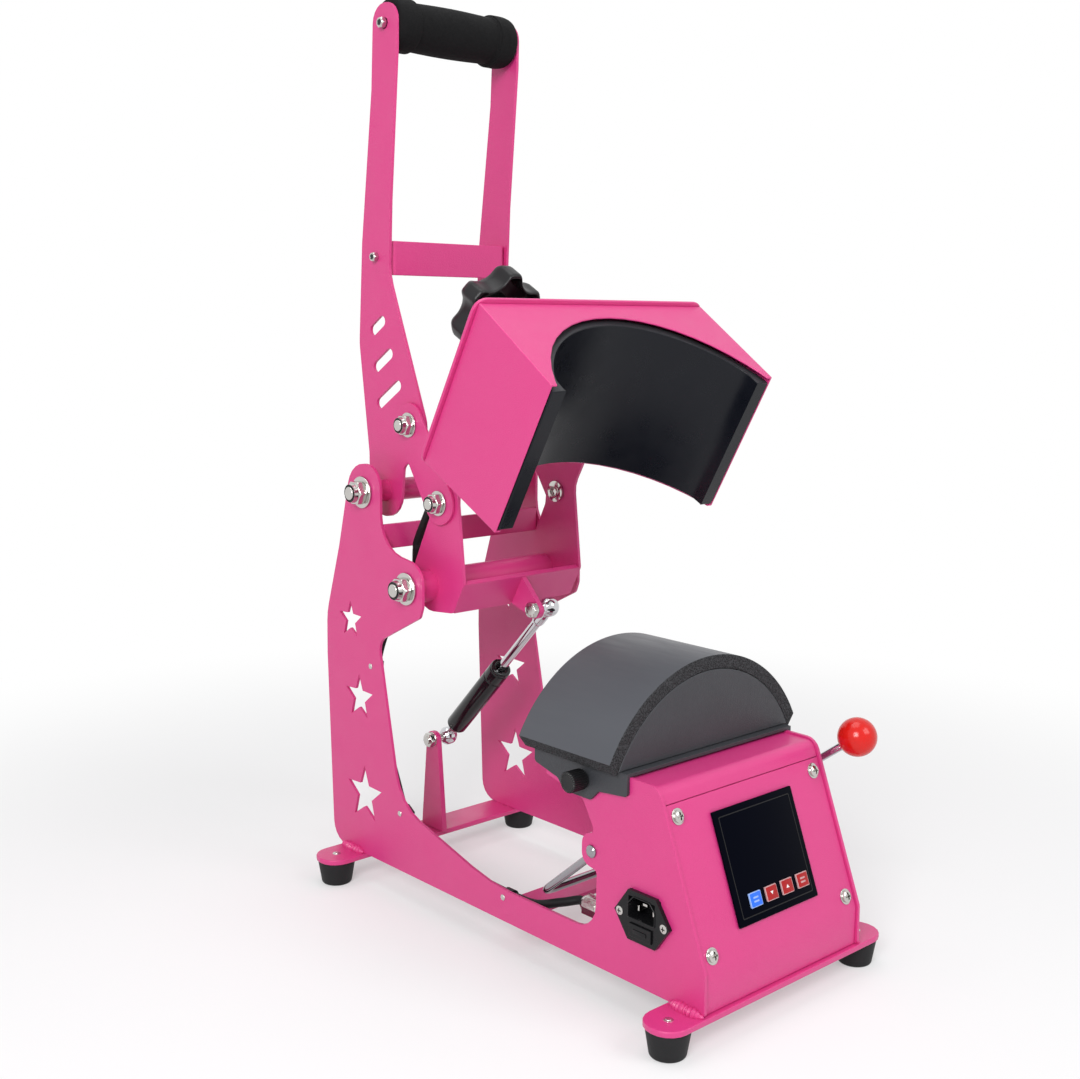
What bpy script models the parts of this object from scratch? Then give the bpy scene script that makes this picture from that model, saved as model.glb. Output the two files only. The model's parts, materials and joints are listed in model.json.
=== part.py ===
"""Cap heat press: a steel frame with a curved platen, a swinging heating head, a toggle lever and
a gas spring. Metres, +Z up, the front towards -Y, standing on its feet, open at rest."""

import math

import bmesh
import bpy
from mathutils import Matrix, Vector

# General clearances and finish of round shapes
GAP = 0.0003
OVERRUN = 0.004
ROUND_SIDES = 24
SMALL_SIDES = 16
HEX_SIDES = 6
ARC_STEP = math.radians(18)
SMOOTH_ANGLE = math.radians(40)

# Base: cross bars on four rubber feet
BAR_LENGTH = 0.2358
BAR_WIDTH = 0.0330
BAR_T = 0.0043
REAR_FOOT_INSET = 0.0352
FOOT_HEIGHT = 0.0195
FOOT_R_BOTTOM = 0.0121
FOOT_R_TOP = 0.0153
FOOT_ROUND = 0.0020
MID_BAR_WIDTH = 0.0300

# Side plates: one outline, cut with three stars each
FRAME_WIDTH = 0.1680
SIDE_PLATE_T = 0.0025
PLATE_DEPTH = 0.4255
PLATE_HEIGHT = 0.3040
PLATE_FRONT_INSET = 0.0014
EAR_R_UPPER = 0.0230
EAR_R_LOWER = 0.0197
BAIL_EAR_R = 0.0100
STAR_RADII = (0.0247, 0.0195, 0.0160)
STAR_INNER_SHARE = 0.42

# Pivot bolts of the frame
PIVOT_BOLT_R = 0.0060
NUT_R = 0.0105
NUT_T = 0.0065
WASHER_R = 0.0160
WASHER_T = 0.0020
BOLT_STUB = 0.0025
UPPER_TUBE_R = 0.0090
LOWER_TUBE_R = 0.0125
TUBE_BORE_PLAY = 0.0004

# Rear brace between the towers
BRACE_HEIGHT = 0.0195
BRACE_T = 0.0043
BRACE_FRONT = 0.0249
BRACE_DROP = 0.0434

# Lever: two long plates, grip, brace strip and the crank eyes of the toggle
RUN_WIDTH = 0.1244
LEVER_PLATE_T = 0.0025
LEVER_LENGTH = 0.3616
LEVER_END_R = 0.0210
LEVER_EYE_BACK = 0.0359
LEVER_EYE_UP = 0.0551
SLOT_WIDTH = 0.0088
SLOT_TILT = math.radians(32)
GRIP_LEAN = 0.0045
GRIP_R = 0.0190
GRIP_END_R = 0.0205
GRIP_END_LENGTH = 0.0220
GRIP_BORE_R = 0.0046
GRIP_BOLT_R = 0.0040
GRIP_HEAD_R = 0.0072
GRIP_HEAD_T = 0.0050
STRIP_HEIGHT = 0.0266
STRIP_T = 0.0030
STRIP_FLANGE = 0.0300
STRIP_BEND_R = 0.0050
STRIP_BOTTOM = 0.1713
STRIP_FRONT = 0.0070

# Toggle links
LINK_T = 0.0025
LINK_WIDTH = 0.0340
LINK_BOLT_R = 0.0050
LINK_NUT_R = 0.0088
LINK_NUT_T = 0.0075
LINK_HEAD_T = 0.0043

# Swing arm, described as it lies when the press is closed
OPEN_ANGLE = math.radians(61.4)
ARM_PLATE_T = 0.0025
ARM_EYE_FORWARD = 0.0667
ARM_EYE_UP = 0.0180
ARM_END_R = 0.0200
ARM_BEAM_LOW = 0.0060
ARM_BEAM_HEIGHT = 0.0360
ARM_BEAM_REACH = 0.0880
WEB_T = 0.0045
RIB_T = 0.0045
BRIDGE_T = 0.0050
BRIDGE_LENGTH = 0.0340
BRIDGE_UP = 0.0360

# Heating head: sheet box, cover plate, curved shoe and pressure screw
HEAD_WIDTH = 0.2256
HEAD_LENGTH = 0.1175
HEAD_HEIGHT = 0.0895
HEAD_WALL = 0.0015
HEAD_OVERHANG = 0.0011
HEAD_LEAN = 0.0110
HEAD_ARCH_PLAY = 0.0030
HEAD_RIM_UP = 0.0405
COVER_PROUD = 0.0012
COVER_T = 0.0025
COVER_CORNER_R = 0.0140
SHOE_GAP = 0.0015
SHOE_CROWN_T = 0.0080
SHOE_SETBACK = 0.0045
SHOE_BACK_GAP = 0.0025
SHOE_SIDE_INSET = 0.0023
SHOE_RIM_PROUD = 0.0005
SHOE_LEG_PLAY = 0.0008
SCREW_R = 0.0060
SCREW_NUT_R = 0.0110
SCREW_NUT_T = 0.0100
SCREW_BACK = 0.0097
KNOB_R = 0.0380
KNOB_LOBES = 6
KNOB_LOBE_DEPTH = 0.0075
KNOB_T = 0.0220
KNOB_UP = 0.0905
KNOB_HUB_R = 0.0130
KNOB_HUB_T = 0.0120

# Platen: base plate over the side plates, half drum and silicone pad
DRUM_AXIS_DROP = 0.0414
DRUM_R = 0.0997
DRUM_WALL = 0.0020
PAD_R_IN = 0.1000
PAD_R_OUT = 0.1105
PAD_EDGE_IN = 0.0906
PAD_EDGE_OUT = 0.0978
PAD_FRONT = 0.0605
PAD_LENGTH = 0.0910
BASE_FRONT = 0.0547
BASE_LENGTH = 0.0913
BASE_T = 0.0025
TAB_T = 0.0025
TAB_DROP = 0.0240
THUMB_Y = 0.0960
THUMB_DROP = 0.0099
THUMB_R = 0.0075
THUMB_T = 0.0140
THUMB_COLLAR_R = 0.0050
THUMB_COLLAR_T = 0.0016
THUMB_SHANK_R = 0.0030

# Control box between the side plates
SHEET_T = 0.0015
PANEL_SEAM = 0.0064
PANEL_SEAM_DOWN = 0.0130
HOUSING_REAR_SHARE = 0.2306
HOUSING_BEND_R = 0.0100
DISPLAY_WIDTH = 0.0840
DISPLAY_HEIGHT = 0.0779
DISPLAY_T = 0.0020
DISPLAY_DROP = 0.0066
KEY_WIDTH = 0.0120
KEY_HEIGHT = 0.0100
KEY_PITCH = 0.0168
KEY_DROP = 0.0700
KEY_SHIFT = 0.0033
KEY_T = 0.0024
KEY_TRAVEL = 0.0008

# Mains inlet on the left side plate
INLET_Y = 0.0390
INLET_Z = 0.0746
INLET_LENGTH = 0.0500
INLET_HEIGHT = 0.0350
INLET_FLANGE_T = 0.0030
INLET_BODY_LENGTH = 0.0280
INLET_BODY_HEIGHT = 0.0310
INLET_BODY_DEPTH = 0.0240
INLET_SOCKET_LENGTH = 0.0240
INLET_SOCKET_HEIGHT = 0.0150
INLET_SOCKET_DEPTH = 0.0150
INLET_SOCKET_UP = 0.0060
DRAWER_LENGTH = 0.0200
DRAWER_HEIGHT = 0.0090
DRAWER_DEPTH = 0.0160
DRAWER_PROUD = 0.0015
DRAWER_DOWN = 0.0095

# Cap tension bail: a wire bow, its shaft and a lever rod with a ball
BAIL_Y = 0.0897
BAIL_DROP = 0.0612
BAIL_WIRE_R = 0.0030
BAIL_LEG_BACK = 0.0613
BAIL_LEG_DOWN = 0.0522
BAIL_HALF_WIDTH = 0.0740
BAIL_BEND_R = 0.0120
BAIL_ROD_X = 0.0930
BAIL_ROD_FORWARD = 0.0893
BAIL_ROD_UP = 0.0667
BALL_R = 0.0142
BALL_SEAT = 0.0120

# Gas spring from the rear bar to the swing arm
SPRING_X = 0.0130
SPRING_LOW_FORWARD = 0.0055
SPRING_LOW_UP = 0.0806
SPRING_TOP_FORWARD = 0.0584
SPRING_TOP_DOWN = 0.0180
SPRING_BODY_R = 0.0090
SPRING_ROD_R = 0.0040
SPRING_BODY_START = 0.0170
SPRING_BODY_SHARE = 0.5557
SPRING_ROD_HOLD_SHARE = 0.15
SPRING_SOCKET_R = 0.0080
SPRING_NECK_R = 0.0045
SPRING_BORE_PLAY = 0.0003
BALL_STUD_R = 0.0050
BALL_STUD_SHANK_R = 0.0035
STUD_NUT_R = 0.0065
STUD_NUT_T = 0.0050
POST_BASE = 0.0300
POST_TOP = 0.0140
POST_T = 0.0045

# Heater lead: its route from the head down to the control box, in two lengths that part at the
# lower pivot, the clips that hold it to the left plate, and the gland that it ends in
LEAD_R = 0.0033
LEAD_PLAY = 0.0006
LEAD_SPLIT_WAY = (-0.500, -0.050, -0.865)
LEAD_SPLIT_RUN = 0.0060

# The lead's places as shares: across, of half the frame's width. On the head, along, of the way
# from the lower pivot to the head's rear, and up from the pivot, of the head's height. On the
# frame, of the side plate's depth and height.
LEAD_HEAD_SHARES = (
    (-0.6012, 1.1458, 0.0101),
    (-0.6012, 1.1458, 0.1006),
    (-0.6012, 1.0893, 0.2570),
    (-0.6012, 0.9255, 0.3631),
    (-0.6200, 0.6962, 0.4050),
    (-0.6550, 0.3939, 0.3955),
    (-0.6600, 0.1500, 0.3990),
    (-0.6580, 0.0850, 0.3780),
    (-0.6300, -0.0850, 0.3190),
)
LEAD_SPLIT_SHARE = (-0.7857, 0.8052, 0.7339)
LEAD_FRAME_SHARES = (
    (-0.8810, 0.8134, 0.6763),
    (-0.9107, 0.8345, 0.6171),
    (-0.9107, 0.8529, 0.5546),
    (-0.9107, 0.8557, 0.5086),
    (-0.9107, 0.8498, 0.4526),
    (-0.9107, 0.8228, 0.3145),
    (-0.9107, 0.7958, 0.2257),
    (-0.9107, 0.7758, 0.1688),
    (-0.9107, 0.7518, 0.1477),
    (-0.9107, 0.6935, 0.1155),
    (-0.9107, 0.6324, 0.0908),
    (-0.9107, 0.5525, 0.0661),
    (-0.9107, 0.4790, 0.0602),
    (-0.9107, 0.4508, 0.0602),
    (-0.8987, 0.3998, 0.0645),
    (-0.8095, 0.3528, 0.0842),
    (-0.7381, 0.3269, 0.0957),
    (-0.7381, 0.3135, 0.0957),
)
CLIP_STRETCHES = ((2, 3), (7, 8), (12, 13))
CLIP_WIDTH = 0.0080
CLIP_WALL = 0.0008
CLIP_TAB = 0.0120
GLAND_NUT_R = 0.0095
GLAND_NUT_T = 0.0050
GLAND_BODY_R = 0.0078
GLAND_CAP_R = 0.0088
GLAND_CAP_T = 0.0120
GLAND_END_R = 0.0055
GLAND_END_T = 0.0040

# Key levels and planes
BAR_BOTTOM = FOOT_HEIGHT + GAP
BAR_TOP = BAR_BOTTOM + BAR_T
PLATE_BOTTOM = BAR_TOP + GAP
HALF_FRAME = FRAME_WIDTH / 2
INNER_FRAME = HALF_FRAME - SIDE_PLATE_T
RUN_OUTER = RUN_WIDTH / 2
PLATE_FRONT = PLATE_FRONT_INSET - BAR_WIDTH / 2
PLATE_REAR = PLATE_FRONT + PLATE_DEPTH
FOOT_SPACING = PLATE_REAR - REAR_FOOT_INSET
Y_MID = (PLATE_REAR - BAR_WIDTH / 2) / 2
FOOT_X = (BAR_LENGTH - BAR_WIDTH) / 2

# Places on the side plate, as shares of its depth and height
UPPER_PIVOT_SHARE = (0.8731, 1.0000)
LOWER_PIVOT_SHARE = (0.7382, 0.7691)
PLATFORM_SHARE = 0.4704
FRONT_BEND_SHARE = (0.0014, 0.0944)
FRONT_TOP_SHARE = (0.1040, 0.4704)
STAR_SHARES = ((0.8783, 0.1697), (0.8928, 0.4378), (0.9192, 0.6467))


def plate_place(share):
    """A point (y, z) of the side plate from its shares of depth and height."""
    return Vector((PLATE_FRONT + share[0] * PLATE_DEPTH, PLATE_BOTTOM + share[1] * PLATE_HEIGHT))


UPPER_PIVOT = plate_place(UPPER_PIVOT_SHARE)
LOWER_PIVOT = plate_place(LOWER_PIVOT_SHARE)
PLATFORM_Z = PLATE_BOTTOM + PLATFORM_SHARE * PLATE_HEIGHT
BASE_BOTTOM = PLATFORM_Z + GAP
BASE_TOP = BASE_BOTTOM + BASE_T
DRUM_AXIS_Z = PLATFORM_Z - DRUM_AXIS_DROP
BAIL_Z = PLATFORM_Z - BAIL_DROP
THUMB_Z = PLATFORM_Z - THUMB_DROP


def swung(forward_up, angle):
    """A vector (y, z) turned about +X by an angle."""
    y, z = forward_up
    return Vector((y * math.cos(angle) - z * math.sin(angle), y * math.sin(angle) + z * math.cos(angle)))


LEVER_EYE = UPPER_PIVOT + Vector((-LEVER_EYE_BACK, LEVER_EYE_UP))
ARM_EYE_CLOSED = Vector((-ARM_EYE_FORWARD, ARM_EYE_UP))
ARM_EYE = LOWER_PIVOT + swung(ARM_EYE_CLOSED, -OPEN_ANGLE)
HOUSING_REAR = plate_place((HOUSING_REAR_SHARE, 0)).x
SPRING_TOP = LOWER_PIVOT + Vector((-SPRING_TOP_FORWARD, -SPRING_TOP_DOWN))
SPRING_LOW = Vector((FOOT_SPACING - SPRING_LOW_FORWARD, BAR_TOP + SPRING_LOW_UP))

# The head in the arm's own frame: origin on the lower pivot, closed position
HEAD_FRONT = PAD_FRONT - HEAD_OVERHANG - LOWER_PIVOT.x
HEAD_BOTTOM = DRUM_AXIS_Z + HEAD_RIM_UP - LOWER_PIVOT.y
HEAD_TOP = HEAD_BOTTOM + HEAD_HEIGHT
HEAD_REAR = HEAD_FRONT + HEAD_LENGTH
SCREW_Y = (HEAD_FRONT + HEAD_REAR) / 2 - SCREW_BACK


def lead_place(share):
    """A point (x, y, z) of the lead on the frame from its shares."""
    return Vector((share[0] * HALF_FRAME, *plate_place(share[1:])))


LEAD_SPLIT = lead_place(LEAD_SPLIT_SHARE)
LEAD_FRAME_ROUTE = [lead_place(share) for share in LEAD_FRAME_SHARES]
LEAD_HEAD_ROUTE = [
    Vector((across * HALF_FRAME, along * HEAD_REAR, up * HEAD_HEIGHT))
    for across, along, up in LEAD_HEAD_SHARES
]


def cleared_scene():
    for old in list(bpy.data.objects):
        bpy.data.objects.remove(old, do_unlink=True)


def collection(name):
    made = bpy.data.collections.new(name)
    bpy.context.scene.collection.children.link(made)
    return made


cleared_scene()
PARTS = collection("cap_heat_press")
CUTTERS = collection("cutters")


def material(name, colour, roughness, metallic):
    made = bpy.data.materials.new(name)
    made.use_nodes = True
    shader = made.node_tree.nodes["Principled BSDF"]
    shader.inputs["Base Color"].default_value = (*colour, 1)
    shader.inputs["Roughness"].default_value = roughness
    shader.inputs["Metallic"].default_value = metallic
    return made


PINK = material("pink_powder_coat", (0.80, 0.07, 0.32), 0.45, 0.0)
BLACK_PLASTIC = material("black_plastic", (0.02, 0.02, 0.02), 0.45, 0.0)
BLACK_RUBBER = material("black_rubber", (0.02, 0.02, 0.02), 0.8, 0.0)
BLACK_COAT = material("black_nonstick", (0.02, 0.02, 0.02), 0.35, 0.1)
GREY_FOAM = material("grey_silicone", (0.10, 0.10, 0.11), 0.8, 0.0)
GREY_COAT = material("grey_hammer_coat", (0.12, 0.12, 0.13), 0.5, 0.3)
STEEL = material("bright_steel", (0.70, 0.70, 0.72), 0.25, 1.0)
CHROME = material("chrome", (0.80, 0.80, 0.82), 0.10, 1.0)
RED_BALL = material("red_plastic", (0.75, 0.03, 0.02), 0.2, 0.0)
DARK_GLASS = material("dark_display", (0.01, 0.01, 0.015), 0.1, 0.0)
BLUE_KEY = material("blue_key", (0.08, 0.30, 0.75), 0.4, 0.0)
RED_KEY = material("red_key", (0.70, 0.05, 0.05), 0.4, 0.0)
BLACK_LEAD = material("black_lead", (0.02, 0.02, 0.02), 0.6, 0.0)


def empty(name, place, turn=0.0, parent=None):
    """An empty on a joint's axis at (x, y, z), turned about +X."""
    made = bpy.data.objects.new(name, None)
    made.location = place
    made.rotation_euler = (turn, 0, 0)
    made.parent = parent
    PARTS.objects.link(made)
    return made


def finished(made, name, finish, parent):
    """Names a piece, gives it its material and hangs it under its empty."""
    made.name = name
    made.data.name = name
    made.data.materials.clear()
    made.data.materials.append(finish)
    made.parent = parent
    made.data.shade_smooth()
    made.data.set_sharp_from_angle(angle=SMOOTH_ANGLE)
    return made


def mesh_object(name, shape):
    data = bpy.data.meshes.new(name)
    shape.to_mesh(data)
    shape.free()
    made = bpy.data.objects.new(name, data)
    PARTS.objects.link(made)
    return made


def block(low, high):
    """A box between two corners, from the unit cube."""
    shape = bmesh.new()
    bmesh.ops.create_cube(shape, size=1)
    size = Vector(high) - Vector(low)
    middle = (Vector(high) + Vector(low)) / 2
    placed = Matrix.Translation(middle) @ Matrix.Diagonal((*size, 1))
    bmesh.ops.transform(shape, matrix=placed, verts=shape.verts)
    return mesh_object("block", shape)


AXIS_TURN = {
    "X": Matrix.Rotation(math.pi / 2, 4, "Y"),
    "Y": Matrix.Rotation(-math.pi / 2, 4, "X"),
    "Z": Matrix.Identity(4),
}


def rod(start, length, radius, axis="X", sides=ROUND_SIDES, end_radius=None):
    """A cylinder or cone from a start point along an axis."""
    shape = bmesh.new()
    last = radius if end_radius is None else end_radius
    bmesh.ops.create_cone(
        shape, cap_ends=True, segments=sides, radius1=radius, radius2=last, depth=length
    )
    half = Matrix.Translation((0, 0, length / 2))
    place = Matrix.Translation(Vector(start)) @ AXIS_TURN[axis] @ half
    bmesh.ops.transform(shape, matrix=place, verts=shape.verts)
    return mesh_object("rod", shape)


def ball(centre, radius, sides=ROUND_SIDES):
    shape = bmesh.new()
    bmesh.ops.create_uvsphere(shape, u_segments=sides, v_segments=sides // 2, radius=radius)
    bmesh.ops.transform(shape, matrix=Matrix.Translation(Vector(centre)), verts=shape.verts)
    return mesh_object("ball", shape)


def as_mesh(curve):
    """The evaluated curve as a mesh object with its caps welded."""
    bpy.context.view_layer.update()
    graph = bpy.context.evaluated_depsgraph_get()
    data = bpy.data.meshes.new_from_object(curve.evaluated_get(graph))
    shape = bmesh.new()
    shape.from_mesh(data)
    bmesh.ops.remove_doubles(shape, verts=shape.verts, dist=GAP / 100)
    shape.to_mesh(data)
    shape.free()
    made = bpy.data.objects.new(curve.name, data)
    made.matrix_world = curve.matrix_world
    PARTS.objects.link(made)
    bpy.data.objects.remove(curve, do_unlink=True)
    return made


def flat(outlines, thickness, middle, plane="side"):
    """A flat plate from closed outlines, the first outside and the rest holes. A side plate's
    outlines are (y, z) and its middle an x, a cross plate's (x, z) and a y, a level's (x, y), z."""
    data = bpy.data.curves.new("flat", "CURVE")
    data.dimensions = "2D"
    data.fill_mode = "BOTH"
    data.extrude = thickness / 2
    for outline in outlines:
        spline = data.splines.new("POLY")
        spline.points.add(len(outline) - 1)
        for point, (across, up) in zip(spline.points, outline):
            point.co = (across, up, 0, 1)
        spline.use_cyclic_u = True
    made = bpy.data.objects.new("flat", data)
    turns = {"side": (math.pi / 2, 0, math.pi / 2), "cross": (math.pi / 2, 0, 0), "level": (0, 0, 0)}
    places = {"side": (middle, 0, 0), "cross": (0, middle, 0), "level": (0, 0, middle)}
    made.rotation_euler = turns[plane]
    made.location = places[plane]
    PARTS.objects.link(made)
    return as_mesh(made)


def filleted(corners, step=ARC_STEP):
    """Outline points from (across, up, radius) corners, each an arc tangent to its two sides."""
    points = []
    for index, (across, up, radius) in enumerate(corners):
        corner = Vector((across, up))
        before = Vector(corners[index - 1][:2]) - corner
        after = Vector(corners[(index + 1) % len(corners)][:2]) - corner
        opening = before.angle(after)
        sweep = math.pi - opening
        if radius <= 0 or sweep < step / 4:
            points.append(corner)
            continue
        wanted = radius / math.tan(opening / 2)
        reach = min(wanted, before.length * 0.48, after.length * 0.48)
        rounding = reach * math.tan(opening / 2)
        inward = (before.normalized() + after.normalized()).normalized()
        centre = corner + inward * rounding / math.sin(opening / 2)
        start = corner + before.normalized() * reach - centre
        turn = math.copysign(sweep, before.x * after.y - before.y * after.x)
        steps = max(2, math.ceil(sweep / step))
        for count in range(steps + 1):
            points.append(centre + Matrix.Rotation(-turn * count / steps, 2) @ start)
    return points


def circle(centre, radius, sides=SMALL_SIDES):
    turn = 2 * math.pi / sides
    return [
        (centre[0] + radius * math.cos(turn * count), centre[1] + radius * math.sin(turn * count))
        for count in range(sides)
    ]


def star(centre, radius):
    """A five-pointed star, point up."""
    points = []
    for count in range(10):
        reach = radius * (STAR_INNER_SHARE if count % 2 else 1)
        angle = math.pi / 2 + math.pi / 5 * count
        points.append((centre[0] + reach * math.cos(angle), centre[1] + reach * math.sin(angle)))
    return points


def slot(centre, length, width, tilt):
    """A round-ended slot, tilted from the across axis."""
    points = []
    half = (length - width) / 2
    for end in (1, -1):
        for count in range(7):
            angle = math.pi / 6 * count - math.pi / 2 + (0 if end > 0 else math.pi)
            local = Vector((end * half + width / 2 * math.cos(angle), width / 2 * math.sin(angle)))
            points.append(Vector(centre) + Matrix.Rotation(tilt, 2) @ local)
    return points


def strip_outline(path, thickness):
    """The closed outline of a bent sheet: its path is the outer face, and the wall lies on its left."""
    inner = []
    for index, point in enumerate(path):
        here = Vector(point)
        before = here - Vector(path[index - 1]) if index else None
        after = Vector(path[index + 1]) - here if index + 1 < len(path) else None
        sides = [Vector((-step.y, step.x)).normalized() for step in (before, after) if step]
        bisector = sum(sides, Vector((0, 0))).normalized()
        inner.append(here + bisector * thickness / max(bisector.dot(sides[0]), GAP))
    return [Vector(point) for point in path] + inner[::-1]


def as_cutter(made):
    for holder in list(made.users_collection):
        holder.objects.unlink(made)
    CUTTERS.objects.link(made)
    made.hide_render = True
    made.display_type = "WIRE"
    return made


def combined(base, others, operation):
    """Adds live Booleans to a piece: its cutters or the shapes that are welded on."""
    for other in others:
        step = base.modifiers.new(operation.lower(), "BOOLEAN")
        step.operation = operation
        step.object = as_cutter(other)
    return base


def cut(base, *others):
    return combined(base, others, "DIFFERENCE")


def weld(base, *others):
    return combined(base, others, "UNION")


def settled(base):
    """The piece with its Booleans worked out, so that its tools needn't hang under its empty."""
    bpy.context.view_layer.update()
    graph = bpy.context.evaluated_depsgraph_get()
    data = bpy.data.meshes.new_from_object(base.evaluated_get(graph))
    data.transform(base.matrix_world)
    tools = [step.object for step in base.modifiers]
    made = bpy.data.objects.new(base.name, data)
    PARTS.objects.link(made)
    for old in [base, *tools]:
        bpy.data.objects.remove(old, do_unlink=True)
    return made


def tube(points, radius, sides=2, smooth=True):
    """A wire or lead along a route: a POLY curve read from a smooth curve through its points."""
    route = smooth_route(points, radius) if smooth else points
    data = bpy.data.curves.new("tube", "CURVE")
    data.dimensions = "3D"
    data.bevel_depth = radius
    data.bevel_resolution = sides
    data.use_fill_caps = True
    spline = data.splines.new("POLY")
    spline.points.add(len(route) - 1)
    for point, place in zip(spline.points, route):
        point.co = (*place, 1)
    made = bpy.data.objects.new("tube", data)
    PARTS.objects.link(made)
    return as_mesh(made)


def smooth_route(points, radius):
    """Catmull-Rom through the points, read every three diameters."""
    knots = [Vector(point) for point in points]
    ends = [2 * knots[0] - knots[1], *knots, 2 * knots[-1] - knots[-2]]
    route = []
    for index in range(1, len(ends) - 2):
        before, start, stop, after = ends[index - 1:index + 3]
        steps = max(1, round((stop - start).length / (6 * radius)))
        for count in range(steps):
            t = count / steps
            route.append(
                start
                + (stop - before) * (t / 2)
                + (2 * before - 5 * start + 4 * stop - after) * (t * t / 2)
                + (3 * start - before - 3 * stop + after) * (t * t * t / 2)
            )
    return [*route, knots[-1]]


def bent(corners, radius, steps=5):
    """A wire's route with its inner corners rounded to a bend radius."""
    points = [Vector(corners[0])]
    for before, corner, after in zip(corners, corners[1:], corners[2:]):
        into = (Vector(before) - Vector(corner)).normalized()
        out = (Vector(after) - Vector(corner)).normalized()
        for count in range(steps + 1):
            t = count / steps
            points.append(Vector(corner) + into * radius * (1 - t) ** 2 + out * radius * t ** 2)
    return [*points, Vector(corners[-1])]


def fastener(y, z, stack, sides=ROUND_SIDES):
    """A bolt along X: steps of (x start, length, radius, sides), welded to one piece."""
    first, *rest = [rod((x, y, z), length, radius, "X", count) for x, length, radius, count in stack]
    return settled(weld(first, *rest)) if rest else first


# Empties: the frame and each joint's axis
PRESS = empty("press", (0, -Y_MID, 0))
LEVER_AXIS = empty("lever_axis", (0, UPPER_PIVOT.x, UPPER_PIVOT.y), 0, PRESS)
ARM_AXIS = empty("arm_axis", (0, LOWER_PIVOT.x, LOWER_PIVOT.y), -OPEN_ANGLE, PRESS)
LINK_VECTOR = ARM_EYE - LEVER_EYE
LINK_TURN = math.atan2(LINK_VECTOR.y, LINK_VECTOR.x)
LINK_AXIS = empty("link_axis", (0, LEVER_EYE.x, LEVER_EYE.y), LINK_TURN, PRESS)
SPRING_VECTOR = SPRING_TOP - SPRING_LOW
SPRING_TURN = math.atan2(SPRING_VECTOR.y, SPRING_VECTOR.x)
SPRING_AXIS = empty("spring_axis", (SPRING_X, SPRING_LOW.x, SPRING_LOW.y), SPRING_TURN, PRESS)
BAIL_AXIS = empty("bail_axis", (0, BAIL_Y, BAIL_Z), 0, PRESS)


def side_plate_outline():
    """Corners (y, z, fillet) of the side plate, clockwise from the bottom of the front edge. The
    shares are of the plate's depth and height, and each fillet's a share of the depth."""
    front_shares = [
        (0.000, 0.000, 0.006),
        (0.0014, 0.0944, 0.020),
        (0.1040, 0.4704, 0.028),
        (0.3600, 0.4704, 0.006),
        (0.3560, 0.4130, 0.004),
        (0.2700, 0.3870, 0.020),
        (0.2400, 0.3160, 0.008),
    ]
    low_shares = [
        (0.2362, 0.0810, 0.045),
        (0.5000, 0.0800, 0.400),
        (0.7650, 0.1810, 0.100),
        (0.8290, 0.6080, 0.030),
        (0.7000, 0.7000, 0.012),
    ]
    rear_shares = [
        (0.9540, 0.8450, 0.060),
        (0.9990, 0.6500, 0.120),
        (1.0000, 0.5370, 0.100),
        (0.9840, 0.0000, 0.042),
    ]

    def placed(shares):
        return [(*plate_place(share), share[2] * PLATE_DEPTH) for share in shares]

    bail = Vector((BAIL_Y, BAIL_Z))
    bail_ear = [
        (bail.x + BAIL_EAR_R, bail.y + BAIL_EAR_R, BAIL_EAR_R),
        (bail.x + BAIL_EAR_R, bail.y - BAIL_EAR_R, BAIL_EAR_R),
        (bail.x - BAIL_EAR_R / 2, bail.y - BAIL_EAR_R * 1.3, BAIL_EAR_R / 3),
    ]
    lower_ear = [
        (LOWER_PIVOT.x - EAR_R_LOWER, LOWER_PIVOT.y - EAR_R_LOWER * 0.6, EAR_R_LOWER / 2),
        (LOWER_PIVOT.x - EAR_R_LOWER, LOWER_PIVOT.y + EAR_R_LOWER, EAR_R_LOWER),
        (UPPER_PIVOT.x - EAR_R_UPPER, LOWER_PIVOT.y + EAR_R_LOWER * 1.4, EAR_R_UPPER * 1.3),
    ]
    upper_ear = [
        (UPPER_PIVOT.x - EAR_R_UPPER, UPPER_PIVOT.y + EAR_R_UPPER, EAR_R_UPPER),
        (UPPER_PIVOT.x + EAR_R_UPPER * 0.7, UPPER_PIVOT.y + EAR_R_UPPER, EAR_R_UPPER),
    ]
    corners = placed(front_shares) + bail_ear + placed(low_shares) + lower_ear + upper_ear
    return filleted(corners + placed(rear_shares))


def side_plates():
    holes = [star(plate_place(share), radius) for share, radius in zip(STAR_SHARES, STAR_RADII)]
    holes.append(circle(UPPER_PIVOT, PIVOT_BOLT_R + GAP))
    holes.append(circle(LOWER_PIVOT, PIVOT_BOLT_R + GAP))
    holes.append(circle((BAIL_Y, BAIL_Z), BAIL_WIRE_R + GAP))
    middle = HALF_FRAME - SIDE_PLATE_T / 2
    inlet_hole = [
        (INLET_Y + across * (INLET_BODY_LENGTH / 2 + GAP), INLET_Z + up * (INLET_BODY_HEIGHT / 2 + GAP))
        for across, up in ((-1, -1), (1, -1), (1, 1), (-1, 1))
    ]
    left = flat([side_plate_outline(), *holes, inlet_hole], SIDE_PLATE_T, -middle)
    finished(left, "side_plate_left", PINK, PRESS)
    right = flat([side_plate_outline(), *holes], SIDE_PLATE_T, middle)
    finished(right, "side_plate_right", PINK, PRESS)


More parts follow.
